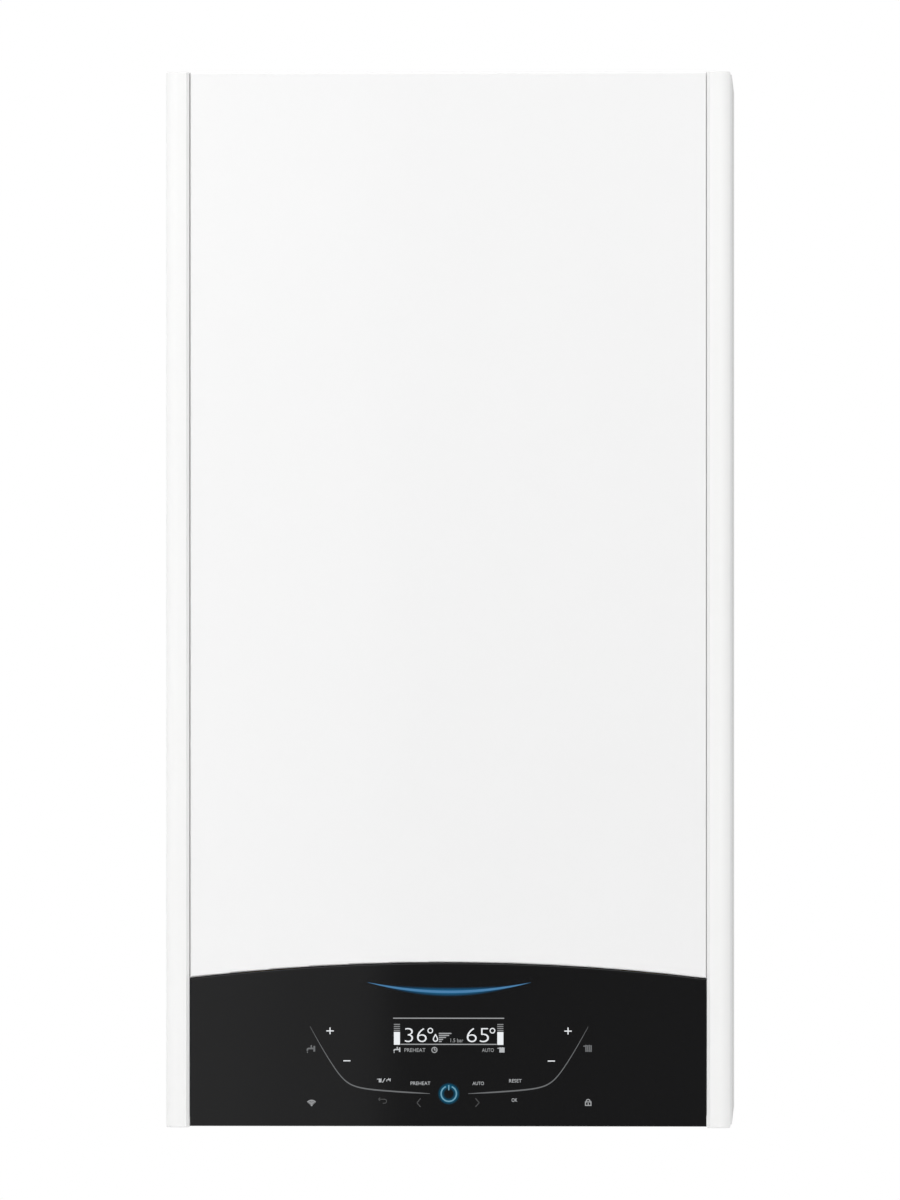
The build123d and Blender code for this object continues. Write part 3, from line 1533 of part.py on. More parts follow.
# Flat expansion vessel against the back plate, two pressed halves with a seam
with BuildPart() as expansion_vessel:
    with BuildSketch(face_at(back_front)):
        with Locations((0, (vessel_low + vessel_high) / 2)):
            RectangleRounded(2 * vessel_half, vessel_high - vessel_low, vessel_corner)
    extrude(amount=vessel_thickness)
    chamfer(expansion_vessel.faces().filter_by(Axis.Y).edges(), vessel_corner / 2)
    with BuildSketch(face_at(back_front + vessel_thickness / 2)):
        with Locations((0, (vessel_low + vessel_high) / 2)):
            RectangleRounded(
                2 * vessel_half + vessel_seam,
                vessel_high - vessel_low + vessel_seam,
                vessel_corner + vessel_seam / 2,
            )
    extrude(amount=trim_wall)
    with Locations(place(filling_across, back_front + vessel_thickness / 2, vessel_low - vessel_port)):
        Cylinder(
            vessel_pipe_radius + port_wall,
            2 * vessel_port,
            align=(Align.CENTER, Align.CENTER, Align.MIN),
        )
expansion_vessel.part.label = "expansion_vessel"
export_step(expansion_vessel.part, "parts/expansion_vessel.step")

vessel_line = tube(
    [
        place(filling_across, vessel_mid, vessel_low - vessel_port),
        place(filling_across, vessel_mid, group_height),
        place(filling_across, tail_depth - arm_radius, group_height),
    ],
    water_corner,
    vessel_pipe_radius,
)
with BuildPart() as water_pipes:
    add(flow_pipe)
    add(return_pipe)
    add(vessel_line)
water_pipes.part.label = "water_pipes"
export_step(water_pipes.part, "parts/water_pipes.step")

# Condensate trap with a removable cup
with BuildPart() as condensate_trap:
    with Locations(place(trap_across, trap_depth, bottom_surface)):
        Cylinder(trap_radius, trap_top - bottom_surface, align=(Align.CENTER, Align.CENTER, Align.MIN))
    with Locations(place(trap_across, trap_depth, trap_top)):
        Cylinder(hose_radius, hose_socket, align=(Align.CENTER, Align.CENTER, Align.MIN))
    # side outlet and the drain tail that passes the bottom plate
    with BuildSketch(side_at(trap_across)):
        with Locations((trap_depth, drain_height)):
            Circle(drain_pipe_radius)
    extrude(amount=-(drain_across - trap_across))
    with Locations(place(drain_across, trap_depth, tail_low + spigot_length)):
        Cylinder(
            drain_pipe_radius,
            drain_height + drain_pipe_radius - tail_low - spigot_length,
            align=(Align.CENTER, Align.CENTER, Align.MIN),
        )
    with Locations(place(drain_across, trap_depth, tail_low)):
        Cylinder(drain_radius, spigot_length, align=(Align.CENTER, Align.CENTER, Align.MIN))
    with Locations(place(trap_across, trap_depth, bottom_surface)):
        Cylinder(
            cup_radius + cup_clearance,
            cup_high + cup_headroom - bottom_surface,
            align=(Align.CENTER, Align.CENTER, Align.MIN),
            mode=Mode.SUBTRACT,
        )
condensate_trap.part.label = "condensate_trap"
export_step(condensate_trap.part, "parts/condensate_trap.step")

with BuildPart() as trap_cup:
    with Locations(place(trap_across, trap_depth, cup_low)):
        Cylinder(cup_radius, cup_high - cup_low, align=(Align.CENTER, Align.CENTER, Align.MIN))
    offset(amount=-trim_wall, openings=trap_cup.faces().sort_by(Axis.Z)[-1])
trap_cup.part.label = "trap_cup"
export_step(trap_cup.part, "parts/trap_cup.step")

with BuildPart() as condensate_hose:
    hose_length = drain_spigot_low - trap_top - hose_socket
    with Locations(place(trap_across, trap_depth, trap_top + hose_socket)):
        Cylinder(hose_radius, hose_length, align=(Align.CENTER, Align.CENTER, Align.MIN))
condensate_hose.part.label = "condensate_hose"
export_step(condensate_hose.part, "parts/condensate_hose.step")
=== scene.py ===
import json
import math

import bmesh
import bpy
from mathutils import Matrix, Vector


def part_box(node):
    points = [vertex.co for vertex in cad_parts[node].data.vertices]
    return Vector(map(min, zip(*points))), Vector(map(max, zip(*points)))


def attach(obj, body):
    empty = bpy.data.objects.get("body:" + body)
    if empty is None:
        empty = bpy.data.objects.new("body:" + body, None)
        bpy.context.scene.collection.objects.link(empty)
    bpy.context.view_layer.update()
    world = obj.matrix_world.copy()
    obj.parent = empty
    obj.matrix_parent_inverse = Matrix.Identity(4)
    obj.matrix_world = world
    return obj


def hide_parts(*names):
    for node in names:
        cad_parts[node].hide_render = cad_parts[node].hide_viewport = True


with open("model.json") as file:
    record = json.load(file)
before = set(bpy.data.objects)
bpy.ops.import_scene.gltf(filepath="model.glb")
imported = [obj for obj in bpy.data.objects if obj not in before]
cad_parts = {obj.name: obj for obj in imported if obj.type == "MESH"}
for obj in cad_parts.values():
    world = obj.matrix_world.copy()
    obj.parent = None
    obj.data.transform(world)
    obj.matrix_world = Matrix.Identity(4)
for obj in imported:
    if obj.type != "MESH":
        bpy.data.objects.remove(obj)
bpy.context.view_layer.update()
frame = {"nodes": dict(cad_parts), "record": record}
nodes = frame["nodes"]
print("frame loaded:", len(nodes), "nodes")

# the photograph is 900 x 1200 and looks level at the front, from a little to the right
photo = {
    "metresPerPixel": 0.0007052,
    "middleColumn": 447.9,  # the casing's middle
    "bottomRow": 1127.8,  # the casing's lower edge
    "width": 900,
    "height": 1200,
    "distance": 8.0,
    "turn": 1.75,  # degrees to the right, so the right side panel just shows
    "sensor": 36,
    "farthest": 100,
}
pixel = photo["metresPerPixel"]

casing = {
    "low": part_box("side_trim_left")[0].z,
    "front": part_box("side_trim_left")[0].y,
    "glassFront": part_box("control_glass")[0].y,
}


def acrossAt(column):  # photo column to x
    return (column - photo["middleColumn"]) * pixel


def heightAt(row):  # photo row to z
    return casing["low"] + (photo["bottomRow"] - row) * pixel


def addObject(name, bm, material):
    mesh = bpy.data.meshes.new(name)
    bm.to_mesh(mesh)
    bm.free()
    mesh.materials.append(material)
    made = bpy.data.objects.new(name, mesh)
    bpy.context.scene.collection.objects.link(made)
    return made


def joinMesh(bm, mesh, move):
    mesh.transform(move)
    bm.from_mesh(mesh)
    bpy.data.meshes.remove(mesh)


def joinShape(bm, other, move):
    mesh = bpy.data.meshes.new("joined")
    other.to_mesh(mesh)
    other.free()
    joinMesh(bm, mesh, move)


def curveMesh(curve):
    holder = bpy.data.objects.new("curve", curve)
    mesh = bpy.data.meshes.new_from_object(holder)
    bpy.data.objects.remove(holder)
    return mesh


def addNode(tree, kind, values=None, **settings):  # values go to its sockets, settings to the node itself
    node = tree.nodes.new("ShaderNode" + kind)
    for key, value in settings.items():
        setattr(node, key, value)
    for key, value in (values or {}).items():
        node.inputs[key].default_value = value
    return node


def wire(tree, *pairs):  # each pair is an output and the input it feeds
    for source, target in pairs:
        tree.links.new(source, target)


def newGroup(name, inputs, outputs):  # a tuple makes an input a vector, and outputs are numbers
    group = bpy.data.node_groups.new(name, "ShaderNodeTree")
    for word, value in inputs.items():
        kind = "NodeSocketVector" if isinstance(value, tuple) else "NodeSocketFloat"
        group.interface.new_socket(word, in_out="INPUT", socket_type=kind).default_value = value
    for word in outputs:
        group.interface.new_socket(word, in_out="OUTPUT", socket_type="NodeSocketFloat")
    return group, group.nodes.new("NodeGroupInput"), group.nodes.new("NodeGroupOutput")


def grainGroup():  # fine bumps with a slow change over them
    group, entry, leave = newGroup("surfaceGrain", {"Scale": 400.0, "Slow Scale": 6.0}, ("Height", "Slow"))
    place = addNode(group, "TexCoord")
    fine = addNode(group, "TexNoise", {"Detail": 2})
    slow = addNode(group, "TexNoise", {"Detail": 4})
    wire(group,
         (place.outputs["Object"], fine.inputs["Vector"]),
         (place.outputs["Object"], slow.inputs["Vector"]),
         (entry.outputs["Scale"], fine.inputs["Scale"]),
         (entry.outputs["Slow Scale"], slow.inputs["Scale"]),
         (fine.outputs["Fac"], leave.inputs["Height"]),
         (slow.outputs["Fac"], leave.inputs["Slow"]))
    return group


def linesGroup():  # fine lines along one axis, as rolled or drawn metal has
    group, entry, leave = newGroup(
        "rolledLines", {"Scale": 900.0, "Stretch": (1.0, 1.0, 0.03)}, ("Height", "Slow"))
    place = addNode(group, "TexCoord")
    stretch = addNode(group, "VectorMath", operation="MULTIPLY")
    fine = addNode(group, "TexNoise", {"Detail": 3})
    slow = addNode(group, "TexNoise", {"Scale": 9})
    wire(group,
         (place.outputs["Object"], stretch.inputs[0]),
         (entry.outputs["Stretch"], stretch.inputs[1]),
         (stretch.outputs["Vector"], fine.inputs["Vector"]),
         (place.outputs["Object"], slow.inputs["Vector"]),
         (entry.outputs["Scale"], fine.inputs["Scale"]),
         (fine.outputs["Fac"], leave.inputs["Height"]),
         (slow.outputs["Fac"], leave.inputs["Slow"]))
    return group


def spangleGroup():  # zinc crystals, each cell its own grey
    group, entry, leave = newGroup("zincSpangle", {"Scale": 90.0}, ("Cell", "Edge"))
    place = addNode(group, "TexCoord")
    warp = addNode(group, "TexNoise", {"Scale": 60})
    mix = addNode(group, "Mix", {"Factor": 0.012}, data_type="VECTOR")
    cells = addNode(group, "TexVoronoi")
    edges = addNode(group, "TexVoronoi", feature="DISTANCE_TO_EDGE")
    split = addNode(group, "SeparateColor")
    wire(group,
         (place.outputs["Object"], warp.inputs["Vector"]),
         (place.outputs["Object"], mix.inputs[4]),
         (warp.outputs["Color"], mix.inputs[5]))
    for cell in (cells, edges):
        wire(group, (mix.outputs[1], cell.inputs["Vector"]), (entry.outputs["Scale"], cell.inputs["Scale"]))
    wire(group,
         (cells.outputs["Color"], split.inputs["Color"]),
         (split.outputs["Red"], leave.inputs["Cell"]),
         (edges.outputs["Distance"], leave.inputs["Edge"]))
    return group


def glowGroup():  # falls off on both sides of a circle, and the pinch narrows it away from x = 0
    group, entry, leave = newGroup(
        "glowRound", {"Centre": (0.0, 0.0, 0.0), "Radius": 0.1, "Width": 0.002, "Peak": 0.4, "Pinch": 0.0},
        ("Mask",))
    place = addNode(group, "TexCoord")
    away = addNode(group, "VectorMath", operation="DISTANCE")
    offset = addNode(group, "Math", operation="SUBTRACT")
    side = addNode(group, "Math", operation="ABSOLUTE")
    split = addNode(group, "SeparateXYZ")
    square = addNode(group, "Math", operation="MULTIPLY")
    pinch = addNode(group, "Math", operation="MULTIPLY_ADD")
    fade = addNode(group, "MapRange", {"To Max": 0}, interpolation_type="SMOOTHSTEP")
    wire(group,
         (place.outputs["Object"], away.inputs[0]),
         (entry.outputs["Centre"], away.inputs[1]),
         (away.outputs["Value"], offset.inputs[0]),
         (entry.outputs["Radius"], offset.inputs[1]),
         (offset.outputs[0], side.inputs[0]),
         (place.outputs["Object"], split.inputs["Vector"]),
         (split.outputs["X"], square.inputs[0]),
         (split.outputs["X"], square.inputs[1]),
         (square.outputs[0], pinch.inputs[0]),
         (entry.outputs["Pinch"], pinch.inputs[1]),
         (side.outputs[0], pinch.inputs[2]),
         (pinch.outputs[0], fade.inputs["Value"]),
         (entry.outputs["Width"], fade.inputs["From Max"]),
         (entry.outputs["Peak"], fade.inputs["To Min"]),
         (fade.outputs["Result"], leave.inputs["Mask"]))
    return group


groups = {"grain": grainGroup(), "lines": linesGroup(), "spangle": spangleGroup(), "glow": glowGroup()}
print("shader groups made")


def newMaterial(name, values):  # values go to the shader's own sockets
    material = bpy.data.materials.new(name)
    material.use_nodes = True
    tree = material.node_tree
    shader = tree.nodes["Principled BSDF"]
    for key, value in values.items():
        shader.inputs[key].default_value = value
    return material, tree, shader


def useGroup(tree, word, values):
    return addNode(tree, "Group", values, node_tree=groups[word])


def mixColours(tree, mask, look, target):
    mix = addNode(tree, "Mix", {6: (*look["dark"], 1), 7: (*look["light"], 1)}, data_type="RGBA")
    wire(tree, (mask, mix.inputs["Factor"]), (mix.outputs[2], target))


def addWear(tree, mask, shader, look, low=0.3, high=0.7):  # the roughness follows the mask
    least, most = look["rough"]
    spread = addNode(tree, "MapRange", {"From Min": low, "From Max": high, "To Min": least, "To Max": most})
    wire(tree, (mask, spread.inputs["Value"]), (spread.outputs["Result"], shader.inputs["Roughness"]))


def addBump(tree, height, shader, look):
    bump = addNode(tree, "Bump", {"Strength": look["bump"], "Distance": look["depth"]})
    wire(tree, (height, bump.inputs["Height"]), (bump.outputs["Normal"], shader.inputs["Normal"]))


def grainMaterial(name, look):
    material, tree, shader = newMaterial(name, {
        "Metallic": look.get("metal", 0), "Coat Weight": look.get("coat", 0),
        "Coat Roughness": look.get("coatRough", 0.03), "Coat IOR": look.get("coatIor", 1.5),
        "Specular IOR Level": look.get("specular", 0.5)})
    grain = useGroup(tree, "grain", {"Scale": look["scale"], "Slow Scale": look["slow"]})
    mixColours(tree, grain.outputs["Slow"], look, shader.inputs["Base Color"])
    addWear(tree, grain.outputs["Slow"], shader, look)
    addBump(tree, grain.outputs["Height"], shader, look)
    return material


def linesMaterial(name, look):
    material, tree, shader = newMaterial(name, {"Metallic": 1})
    lines = useGroup(tree, "lines", {"Scale": look["scale"], "Stretch": look["stretch"]})
    mixColours(tree, lines.outputs["Height"], look, shader.inputs["Base Color"])
    addWear(tree, lines.outputs["Slow"], shader, look)
    addBump(tree, lines.outputs["Height"], shader, look)
    return material


def zincMaterial(name, look):
    material, tree, shader = newMaterial(name, {"Metallic": 1})
    zinc = useGroup(tree, "spangle", {"Scale": look["scale"]})
    mixColours(tree, zinc.outputs["Cell"], look, shader.inputs["Base Color"])
    addWear(tree, zinc.outputs["Cell"], shader, look, 0, 1)
    addBump(tree, zinc.outputs["Edge"], shader, look)
    return material


def lightMaterial(name, look):
    material, tree, shader = newMaterial(name, {
        "Base Color": (0.02, 0.02, 0.02, 1), "Roughness": 0.4, "Emission Strength": look["strength"]})
    grain = useGroup(tree, "grain", {"Scale": 900.0, "Slow Scale": look["slow"]})
    mixColours(tree, grain.outputs["Slow"], look, shader.inputs["Emission Color"])
    return material


def glowMaterial(name, look):
    material, tree, shader = newMaterial(name, {
        "Base Color": (0, 0, 0, 1), "Specular IOR Level": 0, "Emission Color": (*look["colour"], 1),
        "Emission Strength": look["strength"]})
    glow = useGroup(tree, "glow", {
        "Centre": look["centre"], "Radius": look["radius"], "Width": look["width"], "Peak": look["peak"],
        "Pinch": look["pinch"]})
    wire(tree, (glow.outputs["Mask"], shader.inputs["Alpha"]))
    return material


finishes = {
    "casing_white": grainMaterial("enamelWhite", {
        "scale": 1400, "slow": 2.2, "dark": (0.86, 0.86, 0.86), "light": (0.88, 0.88, 0.88),
        "rough": (0.3, 0.36), "bump": 0.05, "depth": 0.0002, "coat": 1.0, "coatRough": 0.06, "coatIor": 1.8,
        "specular": 0.2}),
    "trim_white": grainMaterial("trimWhite", {
        "scale": 1800, "slow": 3, "dark": (0.84, 0.84, 0.835), "light": (0.86, 0.86, 0.855),
        "rough": (0.28, 0.34), "bump": 0.03, "depth": 0.0002, "coat": 0.5, "coatRough": 0.1, "specular": 0.3}),
    "black_glass": grainMaterial("blackGlass", {
        "scale": 60, "slow": 4, "dark": (0.0035, 0.0035, 0.0038), "light": (0.0045, 0.0045, 0.0048),
        "rough": (0.03, 0.05), "bump": 0.0, "depth": 0.0001, "specular": 0.5}),
    "black_plastic": grainMaterial("blackMoulding", {
        "scale": 1600, "slow": 12, "dark": (0.022, 0.022, 0.024), "light": (0.034, 0.034, 0.036),
        "rough": (0.42, 0.55), "bump": 0.25, "depth": 0.0002}),
    "grey_plastic": grainMaterial("greyMoulding", {
        "scale": 1500, "slow": 12, "dark": (0.42, 0.43, 0.44), "light": (0.5, 0.51, 0.52),
        "rough": (0.4, 0.5), "bump": 0.2, "depth": 0.0002}),
    "display_plastic": grainMaterial("displayDark", {
        "scale": 1200, "slow": 20, "dark": (0.008, 0.009, 0.01), "light": (0.012, 0.013, 0.014),
        "rough": (0.15, 0.25), "bump": 0.05, "depth": 0.0001}),
    "circuit_board": grainMaterial("boardGreen", {
        "scale": 700, "slow": 160, "dark": (0.01, 0.09, 0.035), "light": (0.03, 0.2, 0.08),
        "rough": (0.3, 0.45), "bump": 0.3, "depth": 0.0003}),
    "cast_aluminium": grainMaterial("castAluminium", {
        "scale": 900, "slow": 30, "dark": (0.42, 0.43, 0.44), "light": (0.62, 0.63, 0.64),
        "rough": (0.35, 0.5), "bump": 0.5, "depth": 0.0004, "metal": 1}),
    "steel_pipe": grainMaterial("coatedPipe", {
        "scale": 900, "slow": 18, "dark": (0.3, 0.3, 0.31), "light": (0.42, 0.42, 0.43),
        "rough": (0.32, 0.45), "bump": 0.15, "depth": 0.0002, "coat": 0.3, "coatRough": 0.2}),
    "white_ceramic": grainMaterial("whiteCeramic", {
        "scale": 700, "slow": 40, "dark": (0.72, 0.7, 0.66), "light": (0.8, 0.79, 0.76),
        "rough": (0.12, 0.2), "bump": 0.05, "depth": 0.0001, "coat": 0.5}),
    "brass": grainMaterial("castBrass", {
        "scale": 800, "slow": 35, "dark": (0.5, 0.33, 0.12), "light": (0.72, 0.52, 0.24),
        "rough": (0.28, 0.42), "bump": 0.4, "depth": 0.0003, "metal": 1}),
    "copper": linesMaterial("drawnCopper", {
        "scale": 900, "stretch": (1, 1, 0.05), "dark": (0.6, 0.27, 0.15), "light": (0.8, 0.42, 0.26),
        "rough": (0.2, 0.34), "bump": 0.1, "depth": 0.0002}),
    "stainless_steel": linesMaterial("rolledStainless", {
        "scale": 1200, "stretch": (1, 1, 0.04), "dark": (0.5, 0.49, 0.47), "light": (0.64, 0.63, 0.61),
        "rough": (0.24, 0.36), "bump": 0.15, "depth": 0.0002}),
    "bright_steel": linesMaterial("platedFastener", {
        "scale": 1500, "stretch": (1, 1, 0.2), "dark": (0.55, 0.55, 0.56), "light": (0.72, 0.72, 0.73),
        "rough": (0.2, 0.3), "bump": 0.1, "depth": 0.0001}),
    "zinc_steel": zincMaterial("zincSheet", {
        "scale": 150, "dark": (0.53, 0.54, 0.55), "light": (0.59, 0.6, 0.61),
        "rough": (0.32, 0.42), "bump": 0.08, "depth": 0.0002}),
    "grey_rubber": grainMaterial("foamSeal", {
        "scale": 1100, "slow": 20, "dark": (0.05, 0.05, 0.055), "light": (0.09, 0.09, 0.095),
        "rough": (0.7, 0.85), "bump": 0.8, "depth": 0.0005}),
    "black_rubber": grainMaterial("blackRubber", {
        "scale": 1000, "slow": 20, "dark": (0.015, 0.015, 0.015), "light": (0.025, 0.025, 0.025),
        "rough": (0.6, 0.75), "bump": 0.3, "depth": 0.0003}),
    "red_plastic": grainMaterial("redMoulding", {
        "scale": 1500, "slow": 14, "dark": (0.42, 0.02, 0.015), "light": (0.52, 0.035, 0.025),
        "rough": (0.35, 0.45), "bump": 0.2, "depth": 0.0002}),
    "blue_plastic": grainMaterial("blueMoulding", {
        "scale": 1500, "slow": 14, "dark": (0.02, 0.07, 0.3), "light": (0.035, 0.1, 0.4),
        "rough": (0.35, 0.45), "bump": 0.2, "depth": 0.0002}),
    "black_paint": grainMaterial("motorBlack", {
        "scale": 900, "slow": 16, "dark": (0.014, 0.014, 0.015), "light": (0.024, 0.024, 0.026),
        "rough": (0.32, 0.42), "bump": 0.3, "depth": 0.0002}),
    "vessel_paint": grainMaterial("vesselLacquer", {
        "scale": 700, "slow": 8, "dark": (0.3, 0.018, 0.012), "light": (0.4, 0.03, 0.02),
        "rough": (0.22, 0.32), "bump": 0.12, "depth": 0.0003, "coat": 0.4, "coatRough": 0.1}),
}
for entry in frame["record"]["subparts"]:
    holder = nodes[entry["node"]]
    holder.data.materials.clear()
    holder.data.materials.append(finishes[entry["material_slot"]])
print("finishes given to the frame's nodes")

printGreys = {  # each kind of print: its material's name, its darkest and its lightest grey
    "print": ("printedWhite", (0.75, 0.78, 0.8), (0.95, 0.97, 1.0)),
    "soft": ("printedSoft", (0.44, 0.45, 0.46), (0.52, 0.54, 0.56)),
    "mid": ("printedMid", (0.29, 0.295, 0.3), (0.36, 0.37, 0.38)),
    "faint": ("printedFaint", (0.2, 0.205, 0.21), (0.25, 0.255, 0.26)),
    "lines": ("printedLines", (0.095, 0.1, 0.105), (0.135, 0.14, 0.145)),
    "dim": ("printedDim", (0.026, 0.027, 0.028), (0.036, 0.037, 0.038)),
}
lights = {
    word: lightMaterial(name, {"slow": 30, "dark": dark, "light": light, "strength": 0.95})
    for word, (name, dark, light) in printGreys.items()}
lights["blue"] = lightMaterial("statusBlue", {
    "slow": 8, "dark": (0.018, 0.15, 0.33), "light": (0.025, 0.18, 0.38), "strength": 1.0})
lights["cyan"] = lightMaterial("powerBlue", {
    "slow": 8, "dark": (0.085, 0.26, 0.37), "light": (0.12, 0.32, 0.43), "strength": 1.0})

# pipes, nuts and screws inside and under the casing

up, down, ahead, rearward, leftward, rightward = (
    (0, 0, 1), (0, 0, -1), (0, -1, 0), (0, 1, 0), (-1, 0, 0), (1, 0, 0))
creaseAngle = 32  # degrees between two faces, from which their edge stays sharp
fastener = {  # in the thread's own radius, with profiles as (height, radius) pairs
    "washer": ((0, 0), (0, 2.4), (0.4, 2.4), (0.4, 0)), "washerHeight": 0.4,
    "nutReach": 1.85, "nutHeight": 1.6, "studEnd": ((0, 0), (0, 1), (0.8, 1), (1, 0.8), (1, 0)), "studSides": 14,
    "roundHead": ((0, 0), (0, 1.7), (0.9, 1.7), (1.15, 1.45), (1.15, 0.8), (0.4, 0.75), (0.4, 0)),
    "headSides": 18,
    "nutEdge": 0.0004,  # metres
}


def aimed(place, along):  # from a shape drawn up its own z to its place
    return Matrix.Translation(place) @ Vector(along).to_track_quat("Z", "Y").to_matrix().to_4x4()


def aroundCircle(axis, radius, count, first):  # evenly spaced (x, z) places, the first in degrees
    for step in range(count):
        angle = math.radians(first + 360 / count * step)
        yield axis[0] + math.cos(angle) * radius, axis[1] + math.sin(angle) * radius


def softenEdges(bm, width):
    bmesh.ops.bevel(bm, geom=bm.edges[:], offset=width, affect="EDGES", segments=2, profile=0.5, material=-1)


def addTurned(bm, place, along, profile, sides=20, size=1):  # a turned shape, from (height, radius) pairs
    small = bmesh.new()
    verts = [small.verts.new((radius * size, 0, height * size)) for height, radius in profile]
    edges = [small.edges.new(pair) for pair in zip(verts, verts[1:])]
    bmesh.ops.spin(
        small, geom=verts + edges, cent=(0, 0, 0), axis=(0, 0, 1), angle=math.tau, steps=sides, use_merge=True)
    bmesh.ops.remove_doubles(small, verts=small.verts, dist=1e-6)
    bmesh.ops.recalc_face_normals(small, faces=small.faces)
    joinShape(bm, small, aimed(place, along))


def addHex(bm, place, along, reach, height, edge):  # reach is from the axis to a corner
    small = bmesh.new()
    made = bmesh.ops.create_cone(
        small, cap_ends=True, segments=6, radius1=reach, radius2=reach, depth=height)["verts"]
    bmesh.ops.translate(small, vec=(0, 0, height / 2), verts=made)
    softenEdges(small, edge)
    joinShape(bm, small, aimed(place, along))


def addBlock(bm, move, size):
    bmesh.ops.create_cube(bm, size=1, matrix=move @ Matrix.Diagonal((*size, 1)))


def addNut(bm, place, along, size):  # on its washer, with the stud's end showing
    seat = Vector(place) + Vector(along) * size * fastener["washerHeight"]
    top = seat + Vector(along) * size * fastener["nutHeight"]
    addTurned(bm, place, along, fastener["washer"], size=size)
    addHex(bm, seat, along, size * fastener["nutReach"], size * fastener["nutHeight"], fastener["nutEdge"])
    addTurned(bm, top, along, fastener["studEnd"], fastener["studSides"], size)


def addScrew(bm, place, along, size):  # round head with a socket
    addTurned(bm, place, along, fastener["roundHead"], fastener["headSides"], size)


def pushRing(bm, geom, move):
    edges = [item for item in geom if isinstance(item, bmesh.types.BMEdge)]
    made = bmesh.ops.extrude_edge_only(bm, edges=edges)["geom"]
    verts = [item for item in made if isinstance(item, bmesh.types.BMVert)]
    bmesh.ops.translate(bm, vec=move, verts=verts)
    return verts + [item for item in made if isinstance(item, bmesh.types.BMEdge)]


def addPipe(bm, points, radius, bend, sides=26):  # straight runs, with a bend at each corner
    small = bmesh.new()
    places = [Vector(point) for point in points]
    ring = bmesh.ops.create_circle(small, segments=sides, radius=radius)["verts"]
    bmesh.ops.transform(small, matrix=aimed(places[0], places[1] - places[0]), verts=ring)
    geom = list(small.verts) + list(small.edges)
    here = places[0]
    for before, corner, after in zip(places, places[1:], places[2:]):
        into, out = (corner - before).normalized(), (after - corner).normalized()
        geom = pushRing(small, geom, corner - into * bend - here)
        angle, axis = into.angle(out), into.cross(out).normalized()
        middle = corner - into * bend + axis.cross(into) * bend / math.tan(angle / 2)
        steps = max(4, round(math.degrees(angle) / 8))  # about 8 degrees each
        geom = bmesh.ops.spin(small, geom=geom, cent=middle, axis=axis, angle=angle, steps=steps)["geom_last"]
        here = corner + out * bend
    pushRing(small, geom, places[-1] - here)
    bmesh.ops.holes_fill(small, edges=small.edges, sides=sides)
    bmesh.ops.recalc_face_normals(small, faces=small.faces)
    joinShape(bm, small, Matrix.Identity(4))


def addThread(bm, place, along, radius, look):  # one ridge that climbs round the tail
    pitch, sides = look["pitch"], look["sides"]
    foot, crest = pitch * look["foot"], pitch * look["crest"]
    profile = ((-foot, -look["sunk"]), (-crest, look["ridge"]), (crest, look["ridge"]), (foot, -look["sunk"]))
    small = bmesh.new()
    verts = [small.verts.new((radius + out, 0, height)) for height, out in profile]
    edges = [small.edges.new(pair) for pair in zip(verts, verts[1:])]
    bmesh.ops.spin(
        small, geom=verts + edges, cent=(0, 0, 0), axis=(0, 0, 1), angle=math.tau * look["turns"],
        steps=round(sides * look["turns"]), dvec=(0, 0, pitch / sides))
    bmesh.ops.recalc_face_normals(small, faces=small.faces)
    joinShape(bm, small, aimed(place, along))


def addFitting(name, bm, slot, body="frame"):
    piece = addObject(name, bm, finishes[slot])
    piece.data.shade_smooth()
    piece.data.set_sharp_from_angle(angle=math.radians(creaseAngle))
    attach(piece, body)
    return piece


waterRun = {
    "radius": 0.009, "vesselRadius": 0.005, "vesselSides": 18, "bend": 0.014,
    "flow": ((-0.06, -0.15, -0.37), (-0.06, -0.15, -0.396), (-0.134, -0.15, -0.44), (-0.134, -0.15, -0.518)),
    "back": ((0.11, -0.15, -0.456), (0.11, -0.15, -0.43), (0.06, -0.15, -0.396), (0.06, -0.15, -0.37)),
    "vessel": ((0.1005, -0.048, -0.455), (0.1005, -0.048, -0.61), (0.1005, -0.137, -0.61)),
    "nut": (0.0165, 0.013, 0.0012), "vesselNut": (0.0095, 0.01, 0.0008),  # reach, height and rounded edge
    "pastEnd": 0.002,  # how far a nut starts beyond its pipe's end
}
drawn = bmesh.new()
addPipe(drawn, waterRun["flow"], waterRun["radius"], waterRun["bend"])
addPipe(drawn, waterRun["back"], waterRun["radius"], waterRun["bend"])
addPipe(drawn, waterRun["vessel"], waterRun["vesselRadius"], waterRun["bend"], waterRun["vesselSides"])
pipes = addFitting("waterPipesBent", drawn, "copper")
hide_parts("water_pipes")

drawn = bmesh.new()
for end, along in ((waterRun["flow"][0], down), (waterRun["flow"][-1], up),
                   (waterRun["back"][0], up), (waterRun["back"][-1], down)):
    addHex(drawn, Vector(end) - Vector(along) * waterRun["pastEnd"], along, *waterRun["nut"])
for end, along in ((waterRun["vessel"][0], down), (waterRun["vessel"][-1], rearward)):
    addHex(drawn, end, along, *waterRun["vesselNut"])
addFitting("waterUnionNuts", drawn, "brass")

gasRun = {
    "radius": 0.0075, "feedRadius": 0.006, "feedSides": 20, "bend": 0.014,
    "supply": ((0, -0.15, -0.63), (0, -0.15, -0.602), (0, -0.198, -0.602), (0, -0.198, -0.49)),
    "feed": ((-0.038, -0.198, -0.454), (-0.1, -0.198, -0.454), (-0.1, -0.279, -0.454), (-0.1, -0.279, -0.101)),
    "tailReach": 0.0145, "valveReach": 0.0125, "mixerReach": 0.0115, "nutHeight": 0.011, "nutEdge": 0.001,
}
drawn = bmesh.new()
addPipe(drawn, gasRun["supply"], gasRun["radius"], gasRun["bend"])
addPipe(drawn, gasRun["feed"], gasRun["feedRadius"], gasRun["bend"], gasRun["feedSides"])
pipes = addFitting("gasPipesBent", drawn, "steel_pipe")
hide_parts("gas_pipes")

